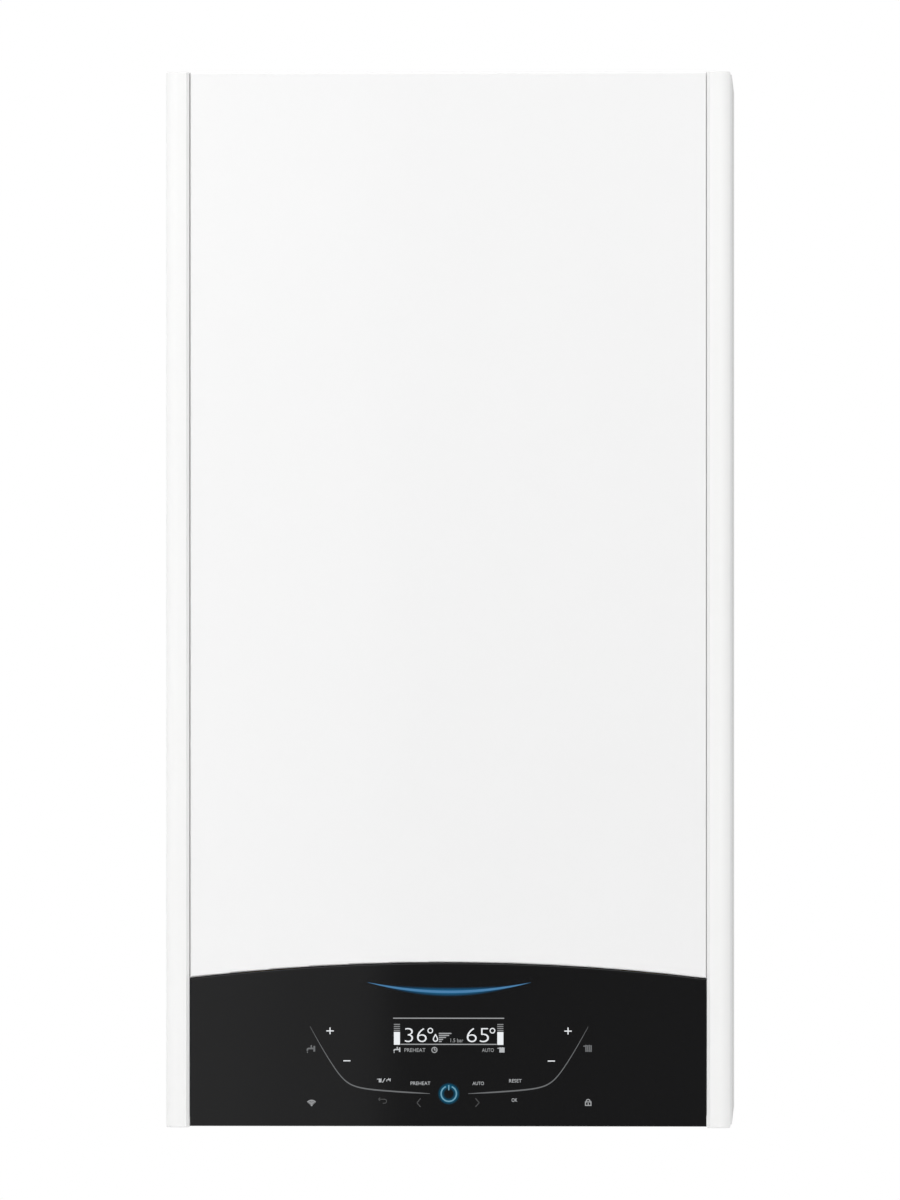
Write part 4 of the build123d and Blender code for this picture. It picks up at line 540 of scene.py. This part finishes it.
drawn = bmesh.new()
for end, along, reach in ((gasRun["supply"][0], up, "tailReach"), (gasRun["supply"][-1], down, "valveReach"),
                          (gasRun["feed"][0], leftward, "valveReach"), (gasRun["feed"][-1], down, "mixerReach")):
    addHex(drawn, end, along, gasRun[reach], gasRun["nutHeight"], gasRun["nutEdge"])
addFitting("gasUnionNuts", drawn, "bright_steel")

burnerDoorNuts = {"axis": (0, -0.26), "face": -0.236, "circle": 0.104, "count": 6, "first": 21, "stud": 0.003}
drawn = bmesh.new()
for across, height in aroundCircle(
        burnerDoorNuts["axis"], burnerDoorNuts["circle"], burnerDoorNuts["count"], burnerDoorNuts["first"]):
    addNut(drawn, (across, burnerDoorNuts["face"], height), ahead, burnerDoorNuts["stud"])
addFitting("burnerDoorNuts", drawn, "bright_steel")

headScrews = {
    "axis": (-0.1, -0.058), "count": 4,  # round the fan and round the mixer on it
    "fan": (-0.268, 0.047, 0.0022, 20), "mixer": (-0.29, 0.0255, 0.0018, 45),  # face, circle, size, first angle
    "valvePlaces": ((-0.0225, -0.4845), (0.0225, -0.4845), (-0.0225, -0.4115), (0.0225, -0.4115)),
    "valveFace": -0.23, "valveSize": 0.0018,
}
drawn = bmesh.new()
for face, circle, size, first in (headScrews["fan"], headScrews["mixer"]):
    for across, height in aroundCircle(headScrews["axis"], circle, headScrews["count"], first):
        addScrew(drawn, (across, face, height), ahead, size)
for across, height in headScrews["valvePlaces"]:
    addScrew(drawn, (across, headScrews["valveFace"], height), ahead, headScrews["valveSize"])
addFitting("headScrews", drawn, "bright_steel")

pumpPlug = {
    "place": (0.134, -0.256, -0.512), "sides": 28,
    "profile": ((0, 0), (0, 0.009), (0.0024, 0.009), (0.003, 0.0082), (0.003, 0.0036), (0.0012, 0.0034),
                (0.0012, 0)),  # (height, radius) pairs, sunk in the middle
}
drawn = bmesh.new()
addTurned(drawn, pumpPlug["place"], ahead, pumpPlug["profile"], pumpPlug["sides"])
addFitting("pumpPlug", drawn, "bright_steel")

tails = {
    "depth": -0.15, "low": -0.681, "top": -0.63, "sides": 32,
    "wide": 0.0132, "wideAt": (-0.134, 0.0, 0.134), "narrow": 0.0105, "narrowAt": (-0.067, 0.067),
    "wall": 0.0026, "bore": 0.036, "mouthHigh": 0.0006, "mouthOut": 0.0005,
    "rimHigh": 0.001, "rimIn": 0.0012, "root": 0.0003, "neck": 0.002,
    "threaded": 0.016, "hexHeight": 0.012, "hexSpread": 0.003, "hexEdge": 0.0012,
}
tailThread = {  # foot and crest are half widths in shares of the pitch
    "low": 0.0014, "pitch": 0.0018, "turns": 8, "ridge": 0.0006, "sunk": 0.0002, "foot": 0.42, "crest": 0.06,
    "sides": 24,
}
drawn = bmesh.new()
for places, radius in ((tails["wideAt"], tails["wide"]), (tails["narrowAt"], tails["narrow"])):
    length, inner = tails["top"] - tails["low"], radius - tails["wall"]
    root, neck = radius - tails["root"], radius - tails["neck"]
    for across in places:
        foot = Vector((across, tails["depth"], tails["low"]))
        addTurned(drawn, foot, up, (
            (tails["bore"], 0), (tails["bore"], inner), (tails["mouthHigh"], inner),
            (0, inner + tails["mouthOut"]), (0, radius - tails["rimIn"]), (tails["rimHigh"], root),
            (tails["threaded"], root), (tails["threaded"], neck), (length, neck), (length, 0)), tails["sides"])
        addThread(drawn, foot + Vector((0, 0, tailThread["low"])), up, radius, tailThread)
        addHex(drawn, foot + Vector((0, 0, tails["threaded"])), up,
               (radius + tails["hexSpread"]) / math.cos(math.pi / 6), tails["hexHeight"], tails["hexEdge"])
tailPiece = addFitting("connectionTails", drawn, "brass")
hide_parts("connection_tails")

doorBead = {
    "place": (0, -0.236, -0.26), "radius": 0.088, "width": 0.009, "rise": 0.0018, "sides": 72,
    "shape": ((0, -1), (0.7, -0.7), (1, -0.3), (1, 0.3), (0.7, 0.7), (0, 1), (0, -1)),  # of rise and half width
}
half = doorBead["width"] / 2
drawn = bmesh.new()
addTurned(drawn, doorBead["place"], ahead, [
    (doorBead["rise"] * high, doorBead["radius"] + half * out) for high, out in doorBead["shape"]],
    doorBead["sides"])
addFitting("burnerDoorBead", drawn, "cast_aluminium")

cupGrip = {
    "axis": (0, -0.104), "radius": 0.0185, "rise": 0.0012, "low": -0.6665, "high": -0.6495, "width": 0.0017,
    "edge": 0.0005, "ribs": 24,
}
drawn = bmesh.new()
out = Matrix.Translation((0, cupGrip["radius"], (cupGrip["low"] + cupGrip["high"]) / 2))
for step in range(cupGrip["ribs"]):
    turn = Matrix.Rotation(math.tau * step / cupGrip["ribs"], 4, "Z")
    addBlock(drawn, Matrix.Translation((*cupGrip["axis"], 0)) @ turn @ out,
             (cupGrip["width"], cupGrip["rise"] * 2, cupGrip["high"] - cupGrip["low"]))
softenEdges(drawn, cupGrip["edge"])
addFitting("trapCupGrip", drawn, "grey_plastic", "trap_bowl")

coverDetail = {
    "face": -0.2075, "screwAcross": (-0.142, 0, 0.142), "screwHeights": (-0.612, -0.676), "screw": 0.0018,
    "ribLeft": (-0.1, 0.04), "ribLow": -0.652, "ribStep": 0.0045, "ribs": 6,
    "ribWide": 0.06, "ribDepth": 0.0012, "ribHeight": 0.0016, "ribEdge": 0.0004,
}
drawn = bmesh.new()
for across in coverDetail["screwAcross"]:
    for height in coverDetail["screwHeights"]:
        addScrew(drawn, (across, coverDetail["face"], height), rearward, coverDetail["screw"])
addFitting("boxCoverScrews", drawn, "bright_steel", "control_panel")
drawn = bmesh.new()
for low in coverDetail["ribLeft"]:
    for step in range(coverDetail["ribs"]):
        middle = (low + coverDetail["ribWide"] / 2, coverDetail["face"] + coverDetail["ribDepth"] / 2,
                  coverDetail["ribLow"] + step * coverDetail["ribStep"])
        addBlock(drawn, Matrix.Translation(middle),
                 (coverDetail["ribWide"], coverDetail["ribDepth"], coverDetail["ribHeight"]))
softenEdges(drawn, coverDetail["ribEdge"])
addFitting("boxCoverRibs", drawn, "black_plastic", "control_panel")

hoseClips = {
    "axis": (0, -0.104), "heights": (-0.396, -0.508), "inner": 0.0088, "outer": 0.0103, "width": 0.008,
    "edgeHigh": 0.0006, "edgeIn": 0.0004, "sides": 28,
    "screwLeft": 0.004, "screwOut": 0.002, "screw": (0.0034, 0.006, 0.0004),  # reach, length and rounded edge
}
drawn = bmesh.new()
for height in hoseClips["heights"]:
    low, high = height - hoseClips["width"] / 2, height + hoseClips["width"] / 2
    inner, outer, shoulder = hoseClips["inner"], hoseClips["outer"], hoseClips["outer"] - hoseClips["edgeIn"]
    addTurned(drawn, (*hoseClips["axis"], 0), up, (
        (low, inner), (low, shoulder), (low + hoseClips["edgeHigh"], outer),
        (high - hoseClips["edgeHigh"], outer), (high, shoulder), (high, inner), (low, inner)), hoseClips["sides"])
    screwPlace = (hoseClips["screwLeft"], hoseClips["axis"][1] - outer - hoseClips["screwOut"], height)
    addHex(drawn, screwPlace, rightward, *hoseClips["screw"])
addFitting("hoseClips", drawn, "bright_steel")
print("pipes, nuts and screws made")

# prints and lights on the glass are drawn in the photograph's pixels


def addBar(bm, left, top, right, bottom):
    made = bmesh.ops.create_grid(bm, x_segments=1, y_segments=1, size=0.5)["verts"]
    bmesh.ops.scale(bm, vec=(right - left, bottom - top, 1), verts=made)
    bmesh.ops.translate(bm, vec=((left + right) / 2, (top + bottom) / 2, 0), verts=made)
    return made


def addRule(bm, left, right, row, width):  # a level line, by its middle row
    addBar(bm, left, row - width / 2, right, row + width / 2)


def addSlant(bm, start, end, width):
    run = Vector(end) - Vector(start)
    made = addBar(bm, -run.length / 2, -width / 2, run.length / 2, width / 2)
    bmesh.ops.rotate(bm, cent=(0, 0, 0), matrix=Matrix.Rotation(math.atan2(run.y, run.x), 3, "Z"), verts=made)
    between = (Vector(start) + Vector(end)) / 2
    bmesh.ops.translate(bm, vec=(between.x, between.y, 0), verts=made)


def addDisc(bm, centre, radius, segments):
    made = bmesh.ops.create_circle(bm, cap_ends=True, segments=segments, radius=radius)["verts"]
    bmesh.ops.translate(bm, vec=(*centre, 0), verts=made)


def addRing(bm, centre, radius, width, start=0, sweep=360, steps=20):  # angles from the right, downwards
    angle = math.radians(start)
    spoke = Vector((math.cos(angle), math.sin(angle), 0))
    middle = Vector((*centre, 0))
    inner = bm.verts.new(middle + spoke * (radius - width / 2))
    outer = bm.verts.new(middle + spoke * (radius + width / 2))
    edge = bm.edges.new((inner, outer))
    bmesh.ops.spin(
        bm, geom=[inner, outer, edge], cent=middle, axis=(0, 0, 1),
        angle=math.radians(sweep), steps=steps, use_merge=sweep == 360)


def addStroke(bm, points, widths):  # a soft line through the points, as wide as stated at each
    curve = bpy.data.curves.new("stroke", "CURVE")
    curve.dimensions = "3D"
    curve.bevel_depth = 0.5  # so a point's radius is the line's width there
    curve.bevel_resolution = 1
    spline = curve.splines.new("NURBS")
    spline.points.add(len(points) - 1)
    for point, place, width in zip(spline.points, points, widths):
        point.co = (*place, 0, 1)
        point.radius = width
    spline.order_u = 3
    spline.use_endpoint_u = True
    joinMesh(bm, curveMesh(curve), Matrix.Diagonal((1, 1, 0.04, 1)))  # pressed nearly flat


def addWords(bm, words, left, right, top, bottom, thin=0.0):  # fitted to the four sides
    curve = bpy.data.curves.new("words", "FONT")
    curve.body = words
    curve.resolution_u = 4
    curve.offset = -thin
    mesh = curveMesh(curve)
    across = [v.co.x for v in mesh.vertices]
    high = [v.co.y for v in mesh.vertices]
    wide = (right - left) / (max(across) - min(across))
    tall = (bottom - top) / (max(high) - min(high))
    mesh.transform(Matrix.Translation((-min(across), -min(high), 0)))
    joinMesh(bm, mesh, Matrix.Translation((left, bottom, 0)) @ Matrix.Diagonal((wide, -tall, 1, 1)))


def addPrint(name, bm, light, lift=0.00008):  # laid on the glass, facing ahead
    onto = Matrix((
        (pixel, 0, 0, acrossAt(0)), (0, 0, -pixel, casing["glassFront"] - lift),
        (0, -pixel, 0, heightAt(0)), (0, 0, 0, 1)))
    bmesh.ops.transform(bm, matrix=onto, verts=bm.verts)
    for face in bm.faces:
        face.normal_update()
        if face.normal.y > 0.5:
            face.normal_flip()
    piece = addObject(name, bm, light)
    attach(piece, "control_panel")


display = {"left": 392.9, "right": 504.1, "barWidth": 6.1, "barInset": 0.8}
barLows = (display["left"] + display["barInset"], display["right"] - display["barInset"] - display["barWidth"])

digits = {
    "numbers": (("36", 404.7, 426.6), ("65", 466.7, 488.8)), "top": 1028.2, "bottom": 1042.3, "thin": 0.017,
    "degreeGap": 3.55, "degreeRow": 1030.8, "degreeRadius": 2.35, "degreeWidth": 1.0,
    "barTop": 1032.1, "barBottom": 1045.0,
}
drawn = bmesh.new()
for number, low, high in digits["numbers"]:
    addWords(drawn, number, low, high, digits["top"], digits["bottom"], digits["thin"])
    degree = (high + digits["degreeGap"], digits["degreeRow"])
    addRing(drawn, degree, digits["degreeRadius"], digits["degreeWidth"])
for low in barLows:
    addBar(drawn, low, digits["barTop"], low + display["barWidth"], digits["barBottom"])
addPrint("displayDigits", drawn, lights["print"])

rules = {
    "rows": ((1018.4, 0), (1044.5, 7.4)), "width": 1.0,  # each row with its inset on both sides
    "stackLeft": 438.7, "stackTop": 1033.6, "stackStep": 2.0, "stackWidth": 1.2,
    "stackEnds": (451.25, 449.0, 445.9, 442.9, 441.5),
}
drawn = bmesh.new()
for row, inset in rules["rows"]:
    addRule(drawn, display["left"] + inset, display["right"] - inset, row, rules["width"])
for step, end in enumerate(rules["stackEnds"]):
    addRule(drawn, rules["stackLeft"], end, rules["stackTop"] + step * rules["stackStep"], rules["stackWidth"])
addPrint("displayLines", drawn, lights["mid"])

ticks = {"rows": (1024.6, 1026.6, 1028.6, 1030.6), "width": 0.95}
drawn = bmesh.new()
for row in ticks["rows"]:
    for low in barLows:
        addRule(drawn, low, low + display["barWidth"], row, ticks["width"])
addPrint("displayTicks", drawn, lights["faint"])

flame = {
    "foot": (435.3, 1039.3), "radius": 2.15, "width": 1.05, "start": -38, "sweep": 256, "steps": 16,
    "sides": (((435.5, 1034.4), (433.4, 1038.2)), ((435.2, 1034.4), (437.1, 1038.2))),
}
drawn = bmesh.new()
addRing(drawn, flame["foot"], flame["radius"], flame["width"], flame["start"], flame["sweep"], flame["steps"])
for start, end in flame["sides"]:
    addSlant(drawn, start, end, flame["width"])
addPrint("displayFlame", drawn, lights["print"])

clock = {
    "centre": (434.3, 1050.1), "radius": 2.6, "width": 0.95, "handWidth": 0.9,
    "hands": (((434.2, 1050.6), (434.2, 1047.8)), ((434.0, 1050.2), (436.0, 1050.2))),
}
displayWords = (  # each with its left, right, top and bottom
    ("1.5 bar", 450.4, 463.2, 1038.7, 1042.4), ("PREHEAT", 404.3, 425.3, 1048.4, 1052.1),
    ("AUTO", 481.9, 493.8, 1048.4, 1052.1))
drawn = bmesh.new()
addRing(drawn, clock["centre"], clock["radius"], clock["width"])
for start, end in clock["hands"]:
    addSlant(drawn, start, end, clock["handWidth"])
for word in displayWords:
    addWords(drawn, *word)
addPrint("displayWords", drawn, lights["mid"])

tapShape = {  # in the tap's own units, from its upper left
    "bend": (2.2, 5.2), "bendRadius": 1.3, "bendWidth": 1.6,
    "bars": (  # left, top, right and bottom of spout, nozzle, drop, handle and the flange at the wall
        (2.2, 3.1, 7.2, 4.7), (0.1, 5.2, 1.7, 6.2), (0.5, 6.9, 1.4, 8.3), (4.1, 0.6, 5.5, 3.2),
        (6.9, 1.3, 8.7, 7.0)),
}
radiatorShape = {  # rows in shares of its height, the rest in pixels
    "stagger": 0.3, "feedStart": -1.9, "feedEnd": 0.2, "feedRows": (0.1, 0.26),
    "barRows": ((0.1, 0.2), (0.8, 0.92)),
}


def addTap(bm, left, top, unit):  # a small basin tap in side view, with a drop under its spout
    bend = (left + tapShape["bend"][0] * unit, top + tapShape["bend"][1] * unit)
    addRing(bm, bend, tapShape["bendRadius"] * unit, tapShape["bendWidth"] * unit, start=180, sweep=90, steps=6)
    for x0, y0, x1, y1 in tapShape["bars"]:
        addBar(bm, left + x0 * unit, top + y0 * unit, left + x1 * unit, top + y1 * unit)


def addRadiator(bm, left, top, width, height, columns, gap):  # the feed is at the upper left
    pitch = width / columns
    for step in range(columns):
        low = left + step * pitch
        addBar(bm, low, top + radiatorShape["stagger"] * (step % 2), low + pitch * (1 - gap), top + height)
    high, low = radiatorShape["feedRows"]
    addBar(bm, left + radiatorShape["feedStart"], top + high * height,
           left + radiatorShape["feedEnd"], top + low * height)
    for high, low in radiatorShape["barRows"]:
        addBar(bm, left, top + high * height, left + width - pitch * gap, top + low * height)


plusMinus = (  # left, top, right and bottom of each stroke, first the left side's
    (326.1, 1030.65, 333.5, 1031.7), (329.25, 1027.75, 330.3, 1034.5), (343.1, 1060.55, 350.2, 1061.6),
    (564.25, 1030.6, 571.6, 1031.65), (567.45, 1027.6, 568.5, 1034.45), (547.7, 1060.55, 554.9, 1061.6))
drawn = bmesh.new()
for stroke in plusMinus:
    addBar(drawn, *stroke)
addPrint("touchSymbols", drawn, lights["print"])

choices = {
    "taps": ((393.2, 1046.6, 0.8), (386.1, 1078.1, 0.49)),  # left, top and unit
    "radiators": ((499.3, 1047.4, 5.2, 5.2, 4, 0.06), (378.6, 1078.7, 2.8, 3.9, 3, 0.12)),
    "slash": ((382.3, 1082.8), (384.9, 1078.5), 0.75),  # start, end and width
    "words": (("PREHEAT", 410.4, 430.2, 1081.8, 1085.2), ("AUTO", 472.4, 483.8, 1081.8, 1085.2),
              ("RESET", 509.0, 521.5, 1079.2, 1082.6), ("OK", 511.6, 517.2, 1098.4, 1101.9)),
}
drawn = bmesh.new()
for tap in choices["taps"]:
    addTap(drawn, *tap)
for radiator in choices["radiators"]:
    addRadiator(drawn, *radiator)
addSlant(drawn, *choices["slash"])
for word in choices["words"]:
    addWords(drawn, *word)
addPrint("touchWords", drawn, lights["soft"])

radio = {
    "foot": (311.2, 1106.2), "radii": (5.5, 3.9, 2.3), "width": 1.1, "start": 222, "sweep": 96, "steps": 10,
    "dot": ((311.3, 1105.6), 0.95, 10),  # centre, radius and sides
}
padlock = {
    "bars": (  # its body's outline and the keyhole
        (584.9, 1101.4, 591.4, 1102.4), (584.9, 1104.9, 591.4, 1105.9), (584.9, 1102.4, 585.95, 1104.9),
        (590.35, 1102.4, 591.4, 1104.9), (587.6, 1102.9, 588.7, 1104.9)),
    "shackle": ((588.1, 1101.3), 1.85, 1.0, 180, 180, 12),  # centre, radius, width, start, sweep and steps
}
drawn = bmesh.new()
for radius in radio["radii"]:
    addRing(drawn, radio["foot"], radius, radio["width"], radio["start"], radio["sweep"], radio["steps"])
addDisc(drawn, *radio["dot"])
for bar in padlock["bars"]:
    addBar(drawn, *bar)
addRing(drawn, *padlock["shackle"])
addPrint("touchSigns", drawn, lights["mid"])

sideSymbols = {"tap": (306.2, 1044.9, 1.0), "radiator": (585.2, 1044.9, 7.0, 7.0, 4, 0.28)}
drawn = bmesh.new()
addTap(drawn, *sideSymbols["tap"])
addRadiator(drawn, *sideSymbols["radiator"])
addPrint("touchSymbolsSide", drawn, lights["lines"])

arrows = {
    "strokes": (((420.4, 1098.6), (416.8, 1103.0)), ((416.8, 1103.0), (420.4, 1107.2)),
                ((475.3, 1098.4), (479.1, 1102.8)), ((479.1, 1102.8), (475.3, 1107.0))), "width": 0.9,
    "wayBack": (((378.4, 1099.5), (384.4, 1099.5)), ((384.4, 1103.5), (382.6, 1103.5)),
                ((378.2, 1099.5), (379.9, 1097.9)), ((378.2, 1099.5), (379.9, 1101.1))), "wayBackWidth": 0.8,
    "wayBackTurn": ((384.4, 1101.5), 2.0, 0.8, -90, 180, 10),  # centre, radius, width, start, sweep and steps
}
drawn = bmesh.new()
for start, end in arrows["strokes"]:
    addSlant(drawn, start, end, arrows["width"])
for start, end in arrows["wayBack"]:
    addSlant(drawn, start, end, arrows["wayBackWidth"])
addRing(drawn, *arrows["wayBackTurn"])
addPrint("touchArrows", drawn, lights["dim"])

swoosh = {
    "axis": 448.95,
    "points": ((309.8, 1026.8), (318.1, 1042.0), (328.2, 1059.0), (338.6, 1074.6), (347.5, 1083.6),
               (358.5, 1088.0), (374.2, 1090.2), (397.9, 1092.0), (415.7, 1093.1), (429.8, 1093.8)),
    "widths": (0.35, 0.6, 0.8, 0.95, 1.15, 1.3, 1.4, 1.45, 1.3, 0.4),
}
for word, side in (("Left", 1), ("Right", -1)):
    drawn = bmesh.new()
    places = [(swoosh["axis"] + (column - swoosh["axis"]) * side, row) for column, row in swoosh["points"]]
    addStroke(drawn, places, swoosh["widths"])
    addPrint("panelLine" + word, drawn, lights["lines"])

statusArc = {
    "column": 449, "row": 634.2, "radius": 357.8, "halfAngle": 13.2, "steps": 16, "width": 2.3, "tip": 0.1,
    "glow": 5.2, "sweep": 30, "peak": 0.75, "pinch": 0.00085, "colour": (0.024, 0.172, 0.36),
}
shares = [2 * step / statusArc["steps"] - 1 for step in range(statusArc["steps"] + 1)]  # -1 to 1 along it
angles = [math.radians(90 + statusArc["halfAngle"] * share) for share in shares]
places = [(statusArc["column"] + statusArc["radius"] * math.cos(angle),
           statusArc["row"] + statusArc["radius"] * math.sin(angle)) for angle in angles]
taper = [statusArc["width"] * (1 - abs(share) ** 4) + statusArc["tip"] for share in shares]
drawn = bmesh.new()
addStroke(drawn, places, taper)
addPrint("statusLight", drawn, lights["blue"])

power = {
    "column": 448.65, "row": 1093.9, "radius": 7.65, "width": 1.35, "gap": 46, "steps": 36,
    "stemHalf": 0.6, "stemTop": 8.7, "stemBottom": 3.5,
    "glow": 3.9, "sweep": 360, "peak": 0.8, "pinch": 0, "colour": (0.008, 0.11, 0.2),
}
drawn = bmesh.new()
addRing(drawn, (power["column"], power["row"]), power["radius"], power["width"],
        start=-90 + power["gap"] / 2, sweep=360 - power["gap"], steps=power["steps"])
addBar(drawn, power["column"] - power["stemHalf"], power["row"] - power["stemTop"],
       power["column"] + power["stemHalf"], power["row"] - power["stemBottom"])
addPrint("powerSymbol", drawn, lights["cyan"])

for name, look in (("statusGlow", statusArc), ("powerGlow", power)):
    drawn = bmesh.new()
    addRing(drawn, (look["column"], look["row"]), look["radius"], look["glow"] * 2,
            start=90 - look["sweep"] / 2, sweep=look["sweep"], steps=40)
    addPrint(name, drawn, glowMaterial(name + "Haze", {
        "centre": (acrossAt(look["column"]), casing["glassFront"], heightAt(look["row"])),
        "radius": look["radius"] * pixel, "width": look["glow"] * pixel, "peak": look["peak"],
        "pinch": look["pinch"] / pixel, "colour": look["colour"], "strength": 1.0}), lift=0.00004)
print("panel prints made")

middle = Vector((acrossAt(photo["width"] / 2), casing["front"], heightAt(photo["height"] / 2)))
turn = math.radians(photo["turn"])
cameraData = bpy.data.cameras.new("frontCamera")
camera = bpy.data.objects.new("frontCamera", cameraData)
bpy.context.scene.collection.objects.link(camera)
camera.location = middle + Vector((math.sin(turn), -math.cos(turn), 0)) * photo["distance"]
camera.rotation_euler = (math.radians(90), 0, turn)
cameraData.sensor_width = photo["sensor"]
cameraData.lens = photo["sensor"] * photo["distance"] / (photo["height"] * pixel)
cameraData.clip_end = photo["farthest"]
bpy.context.scene.camera = camera


def addLamp(name, place, target, size, strength):
    data = bpy.data.lights.new(name, "AREA")
    data.shape = "RECTANGLE"
    data.size, data.size_y = size
    data.energy = strength * size[0] * size[1] * math.pi  # strength is the lamp's own brightness
    lamp = bpy.data.objects.new(name, data)
    bpy.context.scene.collection.objects.link(lamp)
    lamp.location = place
    lamp.rotation_euler = (Vector(target) - Vector(place)).to_track_quat("-Z", "Y").to_euler()
    lamp.visible_camera = False
    lamp.visible_glossy = False


lampSet = {  # place, target, width and height, brightness
    "keyLeft": ((-1.7, -3.0, 1.2), (0, -0.2, -0.2), (2.6, 2.4), 2.55),
    "fillRight": ((1.7, -3.0, 0.7), (0, -0.2, -0.3), (2.0, 2.2), 1.5),
    "topLight": ((0, -0.4, 2.6), (0, -0.2, 0), (2.4, 2.0), 1.0),
    "rearLight": ((0.6, 2.6, 1.0), (0, 0, -0.3), (2.2, 2.2), 1.6),
}
for word, settings in lampSet.items():
    addLamp(word, *settings)

studio = {"seen": 1.0, "fill": 0.62}  # the white room for the camera and the gloss, and for its soft light
world = bpy.data.worlds.new("studio")
bpy.context.scene.world = world
world.use_nodes = True
tree = world.node_tree
background = tree.nodes["Background"]
background.inputs["Color"].default_value = (1, 1, 1, 1)
ray = addNode(tree, "LightPath")
seen = addNode(tree, "Math", operation="MAXIMUM")
seenToo = addNode(tree, "Math", operation="MAXIMUM")
level = addNode(tree, "MapRange", {"To Min": studio["fill"], "To Max": studio["seen"]})
wire(tree,
     (ray.outputs["Is Camera Ray"], seen.inputs[0]),
     (ray.outputs["Is Transmission Ray"], seen.inputs[1]),
     (seen.outputs[0], seenToo.inputs[0]),
     (ray.outputs["Is Glossy Ray"], seenToo.inputs[1]),
     (seenToo.outputs[0], level.inputs["Value"]),
     (level.outputs["Result"], background.inputs["Strength"]))

# what the gloss sees in place of the white room: grey cards that light nothing


def addCard(name, start, end, look, levels):  # upright between two places, its levels (x, brightness) pairs
    material, tree, shader = newMaterial(name, {
        "Base Color": (0, 0, 0, 1), "Specular IOR Level": 0, "Emission Strength": 1})
    place = addNode(tree, "TexCoord")
    split = addNode(tree, "SeparateXYZ")
    along = addNode(tree, "MapRange", {"From Min": levels[0][0], "From Max": levels[-1][0]})
    ramp = addNode(tree, "ValToRGB")
    span = levels[-1][0] - levels[0][0]
    while len(ramp.color_ramp.elements) < len(levels):
        ramp.color_ramp.elements.new(0.5)
    for stop, (x, level) in zip(ramp.color_ramp.elements, levels):
        stop.position = (x - levels[0][0]) / span
        stop.color = (level, level, level, 1)
    wire(tree,
         (place.outputs["Object"], split.inputs["Vector"]),
         (split.outputs["X"], along.inputs["Value"]),
         (along.outputs["Result"], ramp.inputs["Fac"]),
         (ramp.outputs["Color"], shader.inputs["Emission Color"]))
    bm = bmesh.new()
    corners = (*start, look["low"]), (*end, look["low"]), (*end, look["high"]), (*start, look["high"])
    bm.faces.new([bm.verts.new(corner) for corner in corners])
    card = addObject(name, bm, material)
    card.visible_camera = False
    card.visible_diffuse = False
    card.visible_shadow = False


glassCard = {
    "past": 1,  # how far it stands behind the camera
    "side": 1.2, "low": -1.6, "high": 1.4,
    # photo columns of the glass, and what it mirrors there
    "levels": ((190, 0.47), (240, 0.44), (300, 0.37), (370, 0.37), (381, 0.26), (395, 0.155), (706, 0.155)),
}
cardDistance = photo["distance"] + glassCard["past"]
cardPlace = casing["front"] - cardDistance


def mirrored(column):  # where the glass at this photo column looks on the card
    x = acrossAt(column)
    return x + (x - camera.location.x) * (cardDistance / photo["distance"])


cardLevels = [(mirrored(column), level) for column, level in glassCard["levels"]]
addCard("glassCard", (cardLevels[0][0] - glassCard["side"], cardPlace),
        (cardLevels[-1][0] + glassCard["side"], cardPlace), glassCard, cardLevels)

room = {"half": 3, "rearHalf": 3.01, "front": -8, "rear": 4, "low": -1.5, "high": 2.2, "reach": 4, "grey": 0.62}
roomLevels = [(-room["reach"], room["grey"]), (room["reach"], room["grey"])]
for side, word in ((-1, "Left"), (1, "Right")):
    addCard("roomCard" + word, (side * room["half"], room["front"]), (side * room["rearHalf"], room["rear"]),
            room, roomLevels)
addCard("roomCardRear", (-room["half"], room["rear"]), (room["half"], room["rear"]), room, roomLevels)

paleFloor = {
    "dark": (0.84, 0.84, 0.84), "light": (0.88, 0.88, 0.88), "rough": 0.9, "scale": 3.0, "slow": 0.6,
    "white": 0.75,  # how much of it the camera sees as plain white
    "radius": 14, "sides": 64, "drop": 0.9,
}
material, tree, shader = newMaterial("paleFloor", {"Roughness": paleFloor["rough"]})
grain = useGroup(tree, "grain", {"Scale": paleFloor["scale"], "Slow Scale": paleFloor["slow"]})
mixColours(tree, grain.outputs["Slow"], paleFloor, shader.inputs["Base Color"])
glow = addNode(tree, "Emission", {"Color": (1, 1, 1, 1)})
blend = addNode(tree, "MixShader")
ray = addNode(tree, "LightPath")
share = addNode(tree, "Math", {1: paleFloor["white"]}, operation="MULTIPLY")
under = addNode(tree, "NewGeometry")  # the floor isn't there for a camera below it
clear = addNode(tree, "BsdfTransparent")
choice = addNode(tree, "MixShader")
wire(tree,
     (ray.outputs["Is Camera Ray"], share.inputs[0]),
     (share.outputs[0], blend.inputs["Fac"]),
     (shader.outputs[0], blend.inputs[1]),
     (glow.outputs[0], blend.inputs[2]),
     (under.outputs["Backfacing"], choice.inputs["Fac"]),
     (blend.outputs[0], choice.inputs[1]),
     (clear.outputs[0], choice.inputs[2]),
     (choice.outputs[0], tree.nodes["Material Output"].inputs["Surface"]))
drawn = bmesh.new()
bmesh.ops.create_circle(drawn, cap_ends=True, segments=paleFloor["sides"], radius=paleFloor["radius"])
bmesh.ops.translate(drawn, vec=(0, 0, casing["low"] - paleFloor["drop"]), verts=drawn.verts)
floor = addObject("floor", drawn, material)

bpy.context.scene.view_settings.view_transform = "Standard"
print("camera, lamps and floor made")
